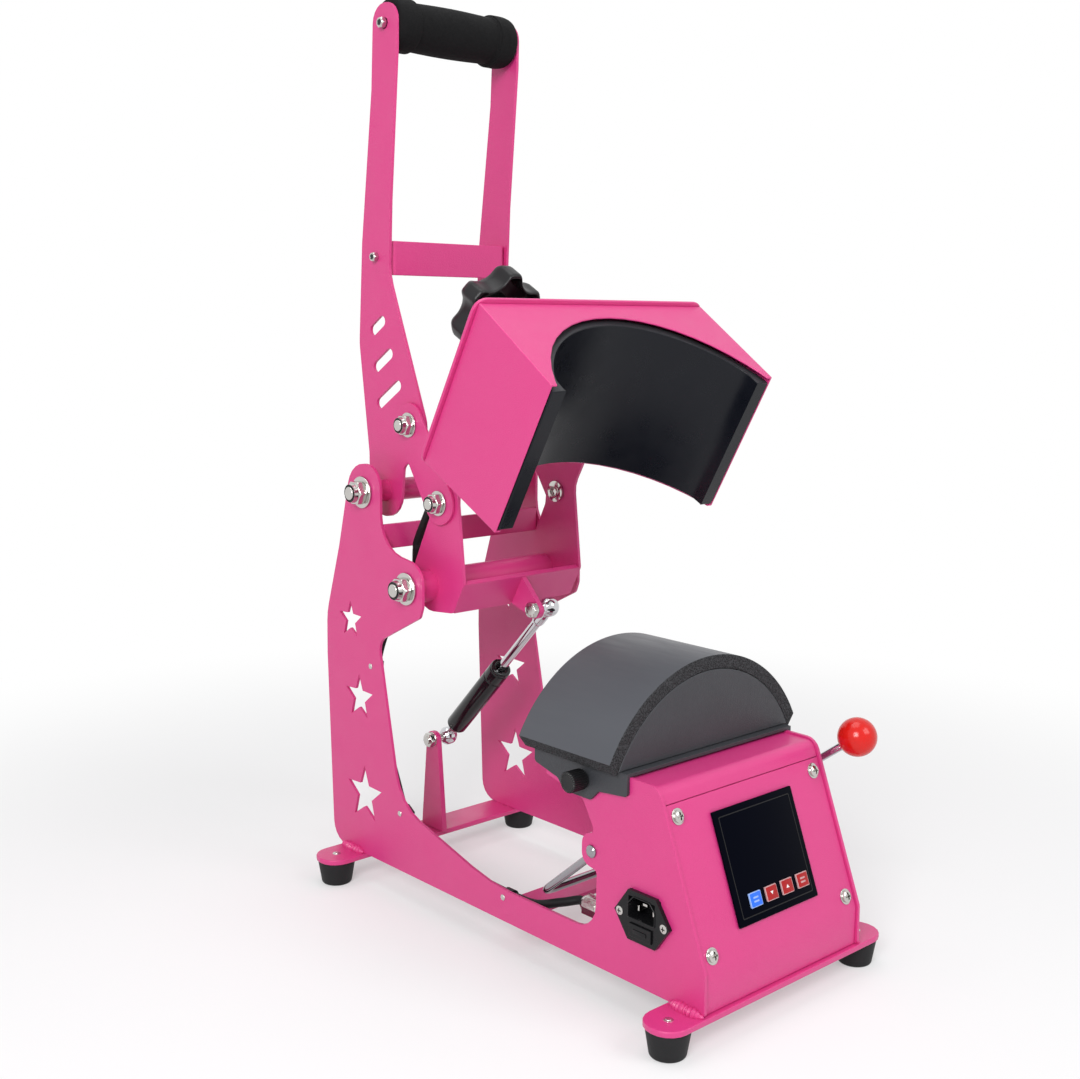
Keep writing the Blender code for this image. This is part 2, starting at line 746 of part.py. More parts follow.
def base_bars():
    """Two round-ended bars on the feet, a middle bar and the rear brace between the plates."""
    half_length = BAR_LENGTH / 2
    half_width = BAR_WIDTH / 2
    for name, y in (("foot_bar_front", 0), ("foot_bar_rear", FOOT_SPACING)):
        corners = [
            (side * half_length, y + edge * half_width, half_width)
            for side, edge in ((-1, -1), (1, -1), (1, 1), (-1, 1))
        ]
        bar = flat([filleted(corners)], BAR_T, BAR_BOTTOM + BAR_T / 2, "level")
        finished(bar, name, PINK, PRESS)
    reach = INNER_FRAME - GAP
    middle_y = FOOT_SPACING / 2
    low = (-reach, middle_y - MID_BAR_WIDTH / 2, PLATE_BOTTOM)
    high = (reach, middle_y + MID_BAR_WIDTH / 2, PLATE_BOTTOM + BAR_T)
    finished(block(low, high), "middle_bar", PINK, PRESS)
    brace_top = UPPER_PIVOT.y - BRACE_DROP + BRACE_HEIGHT
    brace_front = UPPER_PIVOT.x - BRACE_FRONT
    low = (-reach, brace_front, brace_top - BRACE_HEIGHT)
    high = (reach, brace_front + BRACE_T, brace_top)
    finished(block(low, high), "tower_brace", PINK, PRESS)


def feet():
    for x, side in ((-FOOT_X, "left"), (FOOT_X, "right")):
        for y, end in ((0, "front"), (FOOT_SPACING, "rear")):
            foot = rod((x, y, 0), FOOT_HEIGHT, FOOT_R_BOTTOM, "Z", ROUND_SIDES, FOOT_R_TOP)
            rounding = foot.modifiers.new("edge", "BEVEL")
            rounding.width = FOOT_ROUND
            rounding.segments = 2
            rounding.limit_method = "ANGLE"
            finished(foot, f"foot_{end}_{side}", BLACK_RUBBER, PRESS)


def pivot_bolts():
    """Long bolts through both side plates, with a washer and a nut on each side."""
    for name, place in (("upper_pivot_bolt", UPPER_PIVOT), ("lower_pivot_bolt", LOWER_PIVOT)):
        face = HALF_FRAME + GAP
        outside = WASHER_T + NUT_T + BOLT_STUB
        stack = [(-face - outside, 2 * (face + outside), PIVOT_BOLT_R, SMALL_SIDES)]
        left_washer = -face - WASHER_T
        for start, nut_start in ((face, face + WASHER_T - GAP), (left_washer, left_washer - NUT_T)):
            stack.append((start, WASHER_T, WASHER_R, ROUND_SIDES))
            stack.append((nut_start, NUT_T + GAP, NUT_R, HEX_SIDES))
        finished(fastener(place.x, place.y, stack), name, STEEL, PRESS)


def panel_slope():
    """The direction up the front panel and its outward normal, as (y, z) vectors."""
    low = plate_place(FRONT_BEND_SHARE)
    top = plate_place(FRONT_TOP_SHARE)
    along = (top - low).normalized()
    return low, along, Vector((-along.y, along.x))


def control_box():
    """The front panel and the housing behind it: bent sheets across the space between the plates."""
    low, along, outward = panel_slope()
    inset = SHEET_T
    bend = low - outward * inset
    top = plate_place(FRONT_TOP_SHARE)
    slope_end = top - along * PANEL_SEAM_DOWN - outward * inset
    toe = Vector((bend.x, PLATE_BOTTOM))
    width = 2 * (INNER_FRAME - GAP)
    panel_path = [slope_end, bend, toe]
    panel = flat([strip_outline(panel_path, SHEET_T)], width, 0)
    finished(panel, "front_panel", PINK, PRESS)
    deck = PLATFORM_Z - inset
    crest = slope_end + along * (deck - slope_end.y) / along.y
    seam = slope_end + along * GAP
    corners = [
        (HOUSING_REAR, PLATE_BOTTOM + BAR_T, 0),
        (HOUSING_REAR, deck, HOUSING_BEND_R / 2),
        (crest.x, deck, HOUSING_BEND_R),
        (seam.x, seam.y, 0),
    ]
    housing = flat([strip_outline(filleted(corners), SHEET_T)], width, 0)
    finished(housing, "control_housing", PINK, PRESS)
    return slope_end


def panel_frame(slope_end):
    """An empty on the panel's outer face under the seam: +Z up the slope, -Y out of the panel."""
    along = panel_slope()[1]
    lean = math.atan2(along.y, along.x) - math.pi / 2
    return empty("panel_face", (0, slope_end.x, slope_end.y), lean, PRESS)


def display(face):
    """The display module lies on the panel, with a pocket for each of its four keys."""
    top = -PANEL_SEAM - DISPLAY_DROP
    low = (-DISPLAY_WIDTH / 2, -GAP - DISPLAY_T, top - DISPLAY_HEIGHT)
    high = (DISPLAY_WIDTH / 2, -GAP, top)
    module = block(low, high)
    key_z = -PANEL_SEAM - KEY_DROP
    pockets = []
    for index in range(4):
        x = (index - 1.5) * KEY_PITCH + KEY_SHIFT
        half_x = KEY_WIDTH / 2
        half_z = KEY_HEIGHT / 2
        bottom = -GAP - DISPLAY_T / 3
        top_y = -GAP - DISPLAY_T - KEY_T + KEY_TRAVEL + GAP
        key_end = bottom - GAP - KEY_TRAVEL
        key = block((x - half_x, top_y, key_z - half_z), (x + half_x, key_end, key_z + half_z))
        finished(key, f"key_{index + 1}", RED_KEY if index else BLUE_KEY, face)
        pocket_low = (x - half_x - GAP, -DISPLAY_T - OVERRUN, key_z - half_z - GAP)
        pocket_high = (x + half_x + GAP, bottom, key_z + half_z + GAP)
        pockets.append(block(pocket_low, pocket_high))
    module = settled(cut(module, *pockets))
    finished(module, "display_module", DARK_GLASS, face)


def mains_inlet():
    """A flanged appliance inlet in the left plate: socket above, fuse drawer below."""
    face = -HALF_FRAME - GAP
    half = INLET_LENGTH / 2
    tall = INLET_HEIGHT / 2
    corners = [
        (INLET_Y - half, INLET_Z, 0.0),
        (INLET_Y - half / 2, INLET_Z + tall, 0.0),
        (INLET_Y + half / 2, INLET_Z + tall, 0.0),
        (INLET_Y + half, INLET_Z, 0.0),
        (INLET_Y + half / 2, INLET_Z - tall, 0.0),
        (INLET_Y - half / 2, INLET_Z - tall, 0.0),
    ]
    flange = flat([filleted(corners)], INLET_FLANGE_T, face - INLET_FLANGE_T / 2)
    body = block(
        (face - INLET_FLANGE_T / 2, INLET_Y - INLET_BODY_LENGTH / 2, INLET_Z - INLET_BODY_HEIGHT / 2),
        (face + INLET_BODY_DEPTH, INLET_Y + INLET_BODY_LENGTH / 2, INLET_Z + INLET_BODY_HEIGHT / 2),
    )
    socket_z = INLET_Z + INLET_SOCKET_UP
    front = face - INLET_FLANGE_T
    socket = block(
        (front - OVERRUN, INLET_Y - INLET_SOCKET_LENGTH / 2, socket_z - INLET_SOCKET_HEIGHT / 2),
        (
            front + INLET_SOCKET_DEPTH,
            INLET_Y + INLET_SOCKET_LENGTH / 2,
            socket_z + INLET_SOCKET_HEIGHT / 2,
        ),
    )
    drawer_z = INLET_Z - DRAWER_DOWN
    long, high = DRAWER_LENGTH / 2, DRAWER_HEIGHT / 2
    drawer_low = Vector((front - DRAWER_PROUD, INLET_Y - long, drawer_z - high))
    drawer_high = Vector((front + DRAWER_DEPTH, INLET_Y + long, drawer_z + high))
    play = Vector((GAP, GAP, GAP))
    well = block(drawer_low - play - Vector((OVERRUN, 0, 0)), drawer_high + play)
    inlet = settled(cut(weld(flange, body), socket, well))
    finished(inlet, "mains_inlet", BLACK_PLASTIC, PRESS)
    finished(block(drawer_low, drawer_high), "fuse_drawer", BLACK_PLASTIC, PRESS)


def arc(radius, start, stop, centre_z, count=20):
    """Points of an arc about (0, centre_z) between two angles from +X."""
    angles = [start + (stop - start) * step / count for step in range(count + 1)]
    return [(radius * math.cos(angle), centre_z + radius * math.sin(angle)) for angle in angles]


def platen():
    """A base plate over both side plates, a half drum on it and a silicone pad round the drum."""
    rear = BASE_FRONT + BASE_LENGTH
    tab_x = HALF_FRAME + GAP
    top = block((-tab_x - TAB_T, BASE_FRONT, BASE_BOTTOM), (tab_x + TAB_T, rear, BASE_TOP))
    bottom = BASE_TOP - TAB_DROP - BASE_T
    step_shares = (0.38, 0.66)
    corners = [
        (BASE_FRONT, BASE_BOTTOM + BASE_T / 2, 0.0),
        (BASE_FRONT, THUMB_Z - THUMB_SHANK_R, THUMB_SHANK_R),
        (BASE_FRONT + BASE_LENGTH * step_shares[0] - THUMB_R, THUMB_Z - THUMB_SHANK_R * 2, THUMB_SHANK_R),
        (BASE_FRONT + BASE_LENGTH * step_shares[0], bottom, THUMB_SHANK_R),
        (BASE_FRONT + BASE_LENGTH * step_shares[1], bottom, THUMB_SHANK_R),
        (BASE_FRONT + BASE_LENGTH * step_shares[1] + THUMB_R, THUMB_Z - THUMB_SHANK_R * 2, THUMB_SHANK_R),
        (rear, THUMB_Z, THUMB_SHANK_R),
        (rear, BASE_BOTTOM + BASE_T / 2, 0.0),
    ]
    hole = circle((THUMB_Y, THUMB_Z), THUMB_SHANK_R + GAP)
    tabs = [flat([filleted(corners), hole], TAB_T, side * (tab_x + TAB_T / 2)) for side in (-1, 1)]
    finished(settled(weld(top, *tabs)), "platen_base", GREY_COAT, PRESS)
    drum_bottom = BASE_TOP + GAP - DRUM_AXIS_Z
    middle = PAD_FRONT + PAD_LENGTH / 2
    edge = math.asin(drum_bottom / DRUM_R)
    drum = flat([arc(DRUM_R, edge, math.pi - edge, DRUM_AXIS_Z)], PAD_LENGTH, middle, "cross")
    inner_r = DRUM_R - DRUM_WALL
    inner_edge = math.asin((drum_bottom - OVERRUN) / inner_r)
    hollow_outline = arc(inner_r, inner_edge, math.pi - inner_edge, DRUM_AXIS_Z)
    hollow = flat([hollow_outline], PAD_LENGTH - 2 * DRUM_WALL, middle, "cross")
    finished(settled(cut(drum, hollow)), "platen_drum", GREY_COAT, PRESS)
    inner_a = math.acos(PAD_EDGE_IN / PAD_R_IN)
    outer_a = math.acos(PAD_EDGE_OUT / PAD_R_OUT)
    outline = arc(PAD_R_OUT, outer_a, math.pi - outer_a, DRUM_AXIS_Z)
    outline += arc(PAD_R_IN, math.pi - inner_a, inner_a, DRUM_AXIS_Z)
    pad = flat([outline], PAD_LENGTH, middle, "cross")
    finished(pad, "platen_pad", GREY_FOAM, PRESS)


def thumb_screws():
    """Knurled screws that clamp the platen base to the side plates."""
    for name, side in (("thumb_screw_left", -1), ("thumb_screw_right", 1)):
        start = HALF_FRAME + 2 * GAP + TAB_T
        outer = start + THUMB_COLLAR_T
        shank_start = HALF_FRAME + GAP
        lengths = [
            (shank_start, outer - shank_start + THUMB_T / 2, THUMB_SHANK_R, SMALL_SIDES),
            (start, THUMB_COLLAR_T + GAP, THUMB_COLLAR_R, SMALL_SIDES),
            (outer, THUMB_T, THUMB_R, ROUND_SIDES),
        ]
        stack = [
            (x if side > 0 else -x - length, length, radius, sides)
            for x, length, radius, sides in lengths
        ]
        axis = empty(f"{name}_axis", (0, THUMB_Y, THUMB_Z), 0, PRESS)
        finished(fastener(0, 0, stack), name, BLACK_PLASTIC, axis)


def bail():
    """The wire bow that holds a cap down, on a shaft through both plates, and its lever rod."""
    leg = Vector((BAIL_LEG_BACK, -BAIL_LEG_DOWN))
    half = BAIL_HALF_WIDTH
    bow = tube(
        bent([(-half, 0, 0), (-half, *leg), (half, *leg), (half, 0, 0)], BAIL_BEND_R), BAIL_WIRE_R, 2, False
    )
    shaft_left = -HALF_FRAME - BAIL_WIRE_R
    shaft = rod((shaft_left, 0, 0), BAIL_ROD_X - shaft_left, BAIL_WIRE_R, "X", SMALL_SIDES)
    rod_end = (BAIL_ROD_X, -BAIL_ROD_FORWARD, BAIL_ROD_UP)
    to_ball = (Vector(rod_end) - Vector((BAIL_ROD_X, 0, 0))).normalized()
    tip = Vector(rod_end) - to_ball * (BALL_R - BALL_SEAT + GAP)
    lever = tube([(BAIL_ROD_X, 0, 0), tip], BAIL_WIRE_R, 2, False)
    knuckle = ball((BAIL_ROD_X, 0, 0), BAIL_WIRE_R * 1.5, SMALL_SIDES)
    finished(settled(weld(shaft, bow, knuckle, lever)), "cap_bail", CHROME, BAIL_AXIS)
    knob = ball(rod_end, BALL_R)
    mouth = Vector(rod_end) - to_ball * (BALL_R + OVERRUN)
    socket = tube([mouth, tip + to_ball * GAP], BAIL_WIRE_R + GAP, 2, False)
    finished(settled(cut(knob, socket)), "bail_ball", RED_BALL, BAIL_AXIS)


def lever():
    """Two plates welded to the upper tube, in the lever's own frame. The long edges are shares of
    the lever's length, the round end of its radius, and the crank of the link's width."""
    outline_shares = [
        (-0.0560, 1.0420, 0.040),
        (0.0280, 1.0420, 0.040),
        (0.0370, 0.8670, 0.300),
        (0.0780, 0.5440, 0.200),
        (0.0920, 0.3250, 0.110),
    ]
    front_shares = [
        (-0.0210, 0.4740, 0.110),
        (-0.0280, 0.6340, 0.300),
        (-0.0540, 0.9400, 0.200),
    ]
    neck_shares = (0.705, 0.394, 0.200)
    crank_shares = ((-0.518, -0.600, 0.479), (-0.518, 0.082, 0.638))
    end_shares = ((1.0, 1.376, 1.376), (1.0, -1.0, 1.0), (-1.0, -1.0, 1.0))
    slot_shares = ((0.0218, 0.3642, 0.061), (0.0030, 0.2885, 0.080), (-0.0174, 0.2143, 0.102))
    scale = LEVER_LENGTH
    back = [(y * scale, z * scale, r * scale) for y, z, r in outline_shares]
    front = [(y * scale, z * scale, r * scale) for y, z, r in front_shares]
    end = [(y * LEVER_END_R, z * LEVER_END_R, r * LEVER_END_R) for y, z, r in end_shares]
    neck_y, neck_z, neck_r = neck_shares
    neck = (-neck_y * LEVER_EYE_BACK, neck_z * LEVER_EYE_UP, neck_r * LEVER_EYE_BACK)
    crank = [
        (y * LINK_WIDTH - LEVER_EYE_BACK, z * LINK_WIDTH + LEVER_EYE_UP, r * LINK_WIDTH)
        for y, z, r in crank_shares
    ]
    outline = filleted([*back, *end, neck, *crank, *front])
    slots = [
        slot((y * scale, z * scale), length * scale, SLOT_WIDTH, -SLOT_TILT)
        for y, z, length in slot_shares
    ]
    holes = [
        circle((-LEVER_EYE_BACK, LEVER_EYE_UP), LINK_BOLT_R + GAP),
        circle((-GRIP_LEAN, LEVER_LENGTH), GRIP_BOLT_R + GAP),
    ]
    middle = RUN_OUTER - LEVER_PLATE_T / 2
    plates = [flat([outline, *slots, *holes], LEVER_PLATE_T, side * middle) for side in (-1, 1)]
    reach = INNER_FRAME - GAP
    pipe = rod((-reach, 0, 0), 2 * reach, UPPER_TUBE_R)
    bore_r = PIVOT_BOLT_R + TUBE_BORE_PLAY
    bore = rod((-reach - OVERRUN, 0, 0), 2 * (reach + OVERRUN), bore_r, "X", SMALL_SIDES)
    finished(settled(cut(weld(pipe, *plates), bore)), "lever_frame", PINK, LEVER_AXIS)


def lever_brace():
    """The U-shaped strip between the lever plates, bent about the vertical."""
    inner = RUN_OUTER - LEVER_PLATE_T - GAP
    web_front = -STRIP_FRONT
    corners = [
        (-inner, web_front + STRIP_FLANGE, 0),
        (-inner, web_front, STRIP_BEND_R),
        (inner, web_front, STRIP_BEND_R),
        (inner, web_front + STRIP_FLANGE, 0),
    ]
    outline = strip_outline(filleted(corners), STRIP_T)
    strip = flat([outline], STRIP_HEIGHT, STRIP_BOTTOM + STRIP_HEIGHT / 2, "level")
    finished(strip, "lever_brace", PINK, LEVER_AXIS)


def grip():
    """A foam-covered grip between the plates on a long bolt."""
    inner = RUN_OUTER - LEVER_PLATE_T - GAP
    body = rod((-inner, -GRIP_LEAN, LEVER_LENGTH), 2 * inner, GRIP_R)
    collars = [
        rod((start, -GRIP_LEAN, LEVER_LENGTH), GRIP_END_LENGTH, GRIP_END_R)
        for start in (-inner, inner - GRIP_END_LENGTH)
    ]
    bore_start = (-inner - OVERRUN, -GRIP_LEAN, LEVER_LENGTH)
    bore = rod(bore_start, 2 * (inner + OVERRUN), GRIP_BORE_R, "X", SMALL_SIDES)
    finished(settled(cut(weld(body, *collars), bore)), "lever_grip", BLACK_RUBBER, LEVER_AXIS)
    face = RUN_OUTER + GAP
    stack = [
        (-face - GRIP_HEAD_T / 2, 2 * face + GRIP_HEAD_T, GRIP_BOLT_R, SMALL_SIDES),
        (-face - GRIP_HEAD_T, GRIP_HEAD_T, GRIP_HEAD_R, HEX_SIDES),
        (face, GRIP_HEAD_T, GRIP_HEAD_R, HEX_SIDES),
    ]
    finished(fastener(-GRIP_LEAN, LEVER_LENGTH, stack), "grip_bolt", STEEL, LEVER_AXIS)


def links():
    """Round-ended bars outside the lever and arm plates, with the bolts at both ends. The bolt at
    the lever passes through both plates. The one at the arm is two pieces that face each other."""
    inner = RUN_OUTER + GAP
    length = LINK_VECTOR.length
    radius = LINK_WIDTH / 2
    corners = [
        (-radius, -radius, radius),
        (length + radius, -radius, radius),
        (length + radius, radius, radius),
        (-radius, radius, radius),
    ]
    holes = [circle((0, 0), LINK_BOLT_R + GAP), circle((length, 0), LINK_BOLT_R + GAP)]
    outer = inner + LINK_T + GAP
    lever_inner = RUN_OUTER - LEVER_PLATE_T - GAP
    head = lever_inner - LINK_HEAD_T
    shank = lever_inner - LINK_HEAD_T / 2
    for side, name in ((-1, "left"), (1, "right")):
        bar = flat([filleted(corners), *holes], LINK_T, side * (inner + LINK_T / 2))
        finished(bar, f"toggle_link_{name}", PINK, LINK_AXIS)
        through = [
            (head, LINK_HEAD_T, LINK_NUT_R, HEX_SIDES),
            (shank, outer + LINK_NUT_T - shank, LINK_BOLT_R, SMALL_SIDES),
            (outer, LINK_NUT_T, LINK_NUT_R, HEX_SIDES),
        ]
        outside = [
            (inner, outer - inner + LINK_NUT_T, LINK_BOLT_R, SMALL_SIDES),
            (outer, LINK_NUT_T, LINK_NUT_R, HEX_SIDES),
        ]
        inside = [
            (head, LINK_HEAD_T, LINK_NUT_R, HEX_SIDES),
            (shank, RUN_OUTER - shank, LINK_BOLT_R, SMALL_SIDES),
        ]
        for stack, label, place, axis in (
            (through, "lever_link_bolt", (-LEVER_EYE_BACK, LEVER_EYE_UP), LEVER_AXIS),
            (outside, "arm_link_nut", (length, 0), LINK_AXIS),
            (inside, "arm_link_bolt", ARM_EYE_CLOSED, ARM_AXIS),
        ):
            placed = [
                (x if side > 0 else -x - reach, reach, size, count) for x, reach, size, count in stack
            ]
            finished(fastener(*place, placed), f"{label}_{name}", STEEL, axis)


def swing_arm():
    """Two plates welded to the lower tube, a web with a rib below and a bridge above the head."""
    low = HEAD_TOP + ARM_BEAM_LOW
    high = low + ARM_BEAM_HEIGHT
    end_shares = (1.22, -0.20, 1.16)
    eye_shares = (0.50, 0.20, 0.45)
    web_shares = (-1.33, 0.05, -1.76)
    end_y, shoulder_y, shoulder_z = (share * ARM_END_R for share in end_shares)
    eye_y, eye_z, throat_y = (share * LINK_WIDTH for share in eye_shares)
    web_front, web_rear, web_low = (share * ARM_END_R for share in web_shares)
    eye = ARM_EYE_CLOSED
    tip = HEAD_REAR - ARM_BEAM_REACH
    corners = [
        (end_y, 0.0, ARM_END_R),
        (shoulder_y, shoulder_z, ARM_END_R / 2),
        (eye.x + eye_y, eye.y + eye_z, ARM_END_R / 2),
        (eye.x - LINK_WIDTH / 2, high, ARM_END_R),
        (tip, high, ARM_END_R / 4),
        (tip, low, ARM_END_R / 4),
        (eye.x - throat_y, low, ARM_END_R),
        (web_front, web_low, ARM_END_R / 4),
        (web_rear, web_low, ARM_END_R / 4),
    ]
    holes = [circle(eye, LINK_BOLT_R + GAP)]
    middle = RUN_OUTER - ARM_PLATE_T / 2
    plates = [flat([filleted(corners), *holes], ARM_PLATE_T, side * middle) for side in (-1, 1)]
    reach = INNER_FRAME - GAP
    pipe = rod((-reach, 0, 0), 2 * reach, LOWER_TUBE_R)
    inner = RUN_OUTER - ARM_PLATE_T / 2
    web = block((-inner, web_front, web_low), (inner, web_rear, web_low + WEB_T))
    bridge = block(
        (-inner, SCREW_Y - BRIDGE_LENGTH / 2, HEAD_TOP + BRIDGE_UP),
        (inner, SCREW_Y + BRIDGE_LENGTH / 2, HEAD_TOP + BRIDGE_UP + BRIDGE_T),
    )
    ball_place = swung(SPRING_TOP - LOWER_PIVOT, OPEN_ANGLE)
    rib_shares = ((-1.0, 0.4), (-0.6, -1.0), (1.0, -1.0))
    rib_corners = [
        (ball_place.x + y * STUD_NUT_R, ball_place.y + z * STUD_NUT_R, STUD_NUT_R) for y, z in rib_shares
    ]
    seat_z = web_low + WEB_T / 2
    rib_corners += [(web_rear - GAP, seat_z, 0.0), (web_front + GAP, seat_z, 0.0)]
    rib = flat([filleted(rib_corners), circle(ball_place, BALL_STUD_SHANK_R + GAP)], RIB_T, 0)
    bore_r = PIVOT_BOLT_R + TUBE_BORE_PLAY
    bore = rod((-reach - OVERRUN, 0, 0), 2 * (reach + OVERRUN), bore_r, "X", SMALL_SIDES)
    hole_start = (0, SCREW_Y, HEAD_TOP + BRIDGE_UP - OVERRUN)
    screw_hole = rod(hole_start, BRIDGE_T + 2 * OVERRUN, SCREW_R + GAP, "Z", SMALL_SIDES)
    arm = settled(cut(weld(pipe, *plates, web, bridge, rib), bore, screw_hole))
    finished(arm, "swing_arm", PINK, ARM_AXIS)
    nut_start = (-RIB_T / 2 - GAP - STUD_NUT_T, *ball_place)
    stud_nut = rod(nut_start, STUD_NUT_T, STUD_NUT_R, "X", HEX_SIDES)
    stud_shank = rod(nut_start, STUD_NUT_T + GAP + RIB_T, BALL_STUD_SHANK_R, "X", SMALL_SIDES)
    finished(settled(weld(stud_nut, stud_shank)), "spring_top_nut", STEEL, ARM_AXIS)


def heating_head():
    """The head hangs under the arm on the pressure screw: a sheet box whose front leans forward,
    its cover, and the shoe, whose arc ends in two upright legs."""
    half = HEAD_WIDTH / 2
    wall = HEAD_WALL
    lean = HEAD_LEAN * (HEAD_HEIGHT - wall) / HEAD_HEIGHT
    shell_outline = [
        (HEAD_FRONT, HEAD_BOTTOM),
        (HEAD_REAR, HEAD_BOTTOM),
        (HEAD_REAR, HEAD_TOP),
        (HEAD_FRONT - HEAD_LEAN, HEAD_TOP),
    ]
    low = HEAD_BOTTOM - OVERRUN
    lean_back = HEAD_LEAN * OVERRUN / HEAD_HEIGHT
    hollow_outline = [
        (HEAD_FRONT + wall + lean_back, low),
        (HEAD_REAR - wall, low),
        (HEAD_REAR - wall, HEAD_TOP - wall),
        (HEAD_FRONT + wall - lean, HEAD_TOP - wall),
    ]
    shell = flat([shell_outline], HEAD_WIDTH, 0)
    hollow = flat([hollow_outline], 2 * (half - wall), 0)
    axis_z = DRUM_AXIS_Z - LOWER_PIVOT.y
    shoe_r = PAD_R_OUT + SHOE_GAP
    arch_start = (0, HEAD_FRONT - HEAD_LEAN - OVERRUN, axis_z)
    arch_length = HEAD_LENGTH + HEAD_LEAN + 2 * OVERRUN
    arch = rod(arch_start, arch_length, shoe_r + HEAD_ARCH_PLAY, "Y", 2 * ROUND_SIDES)
    finished(settled(cut(shell, hollow, arch)), "head_box", PINK, ARM_AXIS)
    front = HEAD_FRONT - HEAD_LEAN - COVER_PROUD
    rear = HEAD_REAR + COVER_PROUD
    corners = [
        (side * (half + COVER_PROUD), y, COVER_CORNER_R)
        for side, y in ((-1, front), (1, front), (1, rear), (-1, rear))
    ]
    hole = circle((0, SCREW_Y), SCREW_R + GAP)
    cover = flat([filleted(corners), hole], COVER_T, HEAD_TOP + GAP + COVER_T / 2, "level")
    finished(cover, "head_cover", PINK, ARM_AXIS)
    rim = HEAD_BOTTOM - SHOE_RIM_PROUD - axis_z
    side_x = half - SHOE_SIDE_INSET
    leg_x = PAD_EDGE_OUT + SHOE_LEG_PLAY
    outer_r = shoe_r + SHOE_CROWN_T
    inner_a = math.acos(leg_x / shoe_r)
    outer_a = math.acos(side_x / outer_r)
    outline = [(side_x, axis_z + rim)] + arc(outer_r, outer_a, math.pi - outer_a, axis_z, 24)
    outline += [(-side_x, axis_z + rim), (-leg_x, axis_z + rim)]
    outline += arc(shoe_r, math.pi - inner_a, inner_a, axis_z, 24)
    outline += [(leg_x, axis_z + rim)]
    shoe_length = HEAD_LENGTH - SHOE_SETBACK - SHOE_BACK_GAP
    middle = HEAD_FRONT + SHOE_SETBACK + shoe_length / 2
    shoe = flat([outline], shoe_length, middle, "cross")
    # In the plate's own frame +Z is forward and +Y is up: its front end leans with the front sheet.
    for corner in shoe.data.vertices:
        if corner.co.z > 0:
            corner.co.z += HEAD_LEAN * (corner.co.y - HEAD_BOTTOM) / HEAD_HEIGHT
    finished(shoe, "heating_shoe", BLACK_COAT, ARM_AXIS)


def pressure_screw():
    """A star knob on a screw through the arm's bridge. Its nut and washer bear on the head."""
    start = HEAD_TOP + 2 * GAP + COVER_T
    knob_low = HEAD_TOP + KNOB_UP
    screw = rod((0, SCREW_Y, start), knob_low - start + KNOB_T / 2, SCREW_R, "Z", SMALL_SIDES)
    collar = rod((0, SCREW_Y, start), SCREW_NUT_T / 2, SCREW_NUT_R, "Z", ROUND_SIDES)
    finished(settled(weld(screw, collar)), "pressure_screw", STEEL, ARM_AXIS)
    lobes = []
    for count in range(KNOB_LOBES * 8):
        angle = 2 * math.pi * count / (KNOB_LOBES * 8)
        reach = KNOB_R - KNOB_LOBE_DEPTH * (1 - math.cos(KNOB_LOBES * angle)) / 2
        lobes.append((reach * math.cos(angle), SCREW_Y + reach * math.sin(angle)))
    star_knob = flat([lobes], KNOB_T, knob_low + KNOB_T / 2, "level")
    hub_low = knob_low - KNOB_HUB_T
    hub = rod((0, SCREW_Y, hub_low), KNOB_HUB_T + KNOB_T / 2, KNOB_HUB_R, "Z")
    depth = KNOB_HUB_T + KNOB_T / 2 + GAP
    bore = rod((0, SCREW_Y, hub_low - OVERRUN), depth + OVERRUN, SCREW_R + GAP, "Z", SMALL_SIDES)
    finished(settled(cut(weld(star_knob, hub), bore)), "pressure_knob", BLACK_PLASTIC, ARM_AXIS)


def gas_spring():
    """A cylinder on the lower ball stud and a rod to the upper one, along the spring's own +Y."""
    length = SPRING_VECTOR.length
    body_end = length * SPRING_BODY_SHARE
    body = rod((0, SPRING_BODY_START, 0), body_end - SPRING_BODY_START, SPRING_BODY_R, "Y")
    neck = rod((0, 0, 0), SPRING_BODY_START + GAP, SPRING_NECK_R, "Y", SMALL_SIDES)
    socket = ball((0, 0, 0), SPRING_SOCKET_R, SMALL_SIDES)
    stroke_low = SPRING_BODY_START + SPRING_NECK_R
    bore_length = body_end - stroke_low + OVERRUN
    bore = rod((0, stroke_low, 0), bore_length, SPRING_ROD_R + SPRING_BORE_PLAY, "Y", SMALL_SIDES)
    stud_space = ball((0, 0, 0), BALL_STUD_R + GAP, SMALL_SIDES)
    stud_start = -SPRING_SOCKET_R - OVERRUN
    stud_way = rod((stud_start, 0, 0), -stud_start, BALL_STUD_R, "X", SMALL_SIDES)
    cylinder = settled(cut(weld(body, neck, socket), bore, stud_space, stud_way))
    finished(cylinder, "gas_spring_cylinder", BLACK_PLASTIC, SPRING_AXIS)
    rod_start = body_end - (body_end - stroke_low) * SPRING_ROD_HOLD_SHARE
    piston_rod = rod((0, rod_start, 0), length - rod_start, SPRING_ROD_R, "Y", SMALL_SIDES)
    end_start = length - SPRING_SOCKET_R * 2
    end = rod((0, end_start, 0), length - end_start, SPRING_NECK_R + GAP, "Y", SMALL_SIDES)
    head = ball((0, length, 0), SPRING_SOCKET_R, SMALL_SIDES)
    shank_end = SPRING_X - RIB_T / 2 - GAP
    shank = rod((-shank_end, length, 0), shank_end, BALL_STUD_SHANK_R, "X", SMALL_SIDES)
    finished(settled(weld(piston_rod, end, head, shank)), "gas_spring_rod", CHROME, SPRING_AXIS)


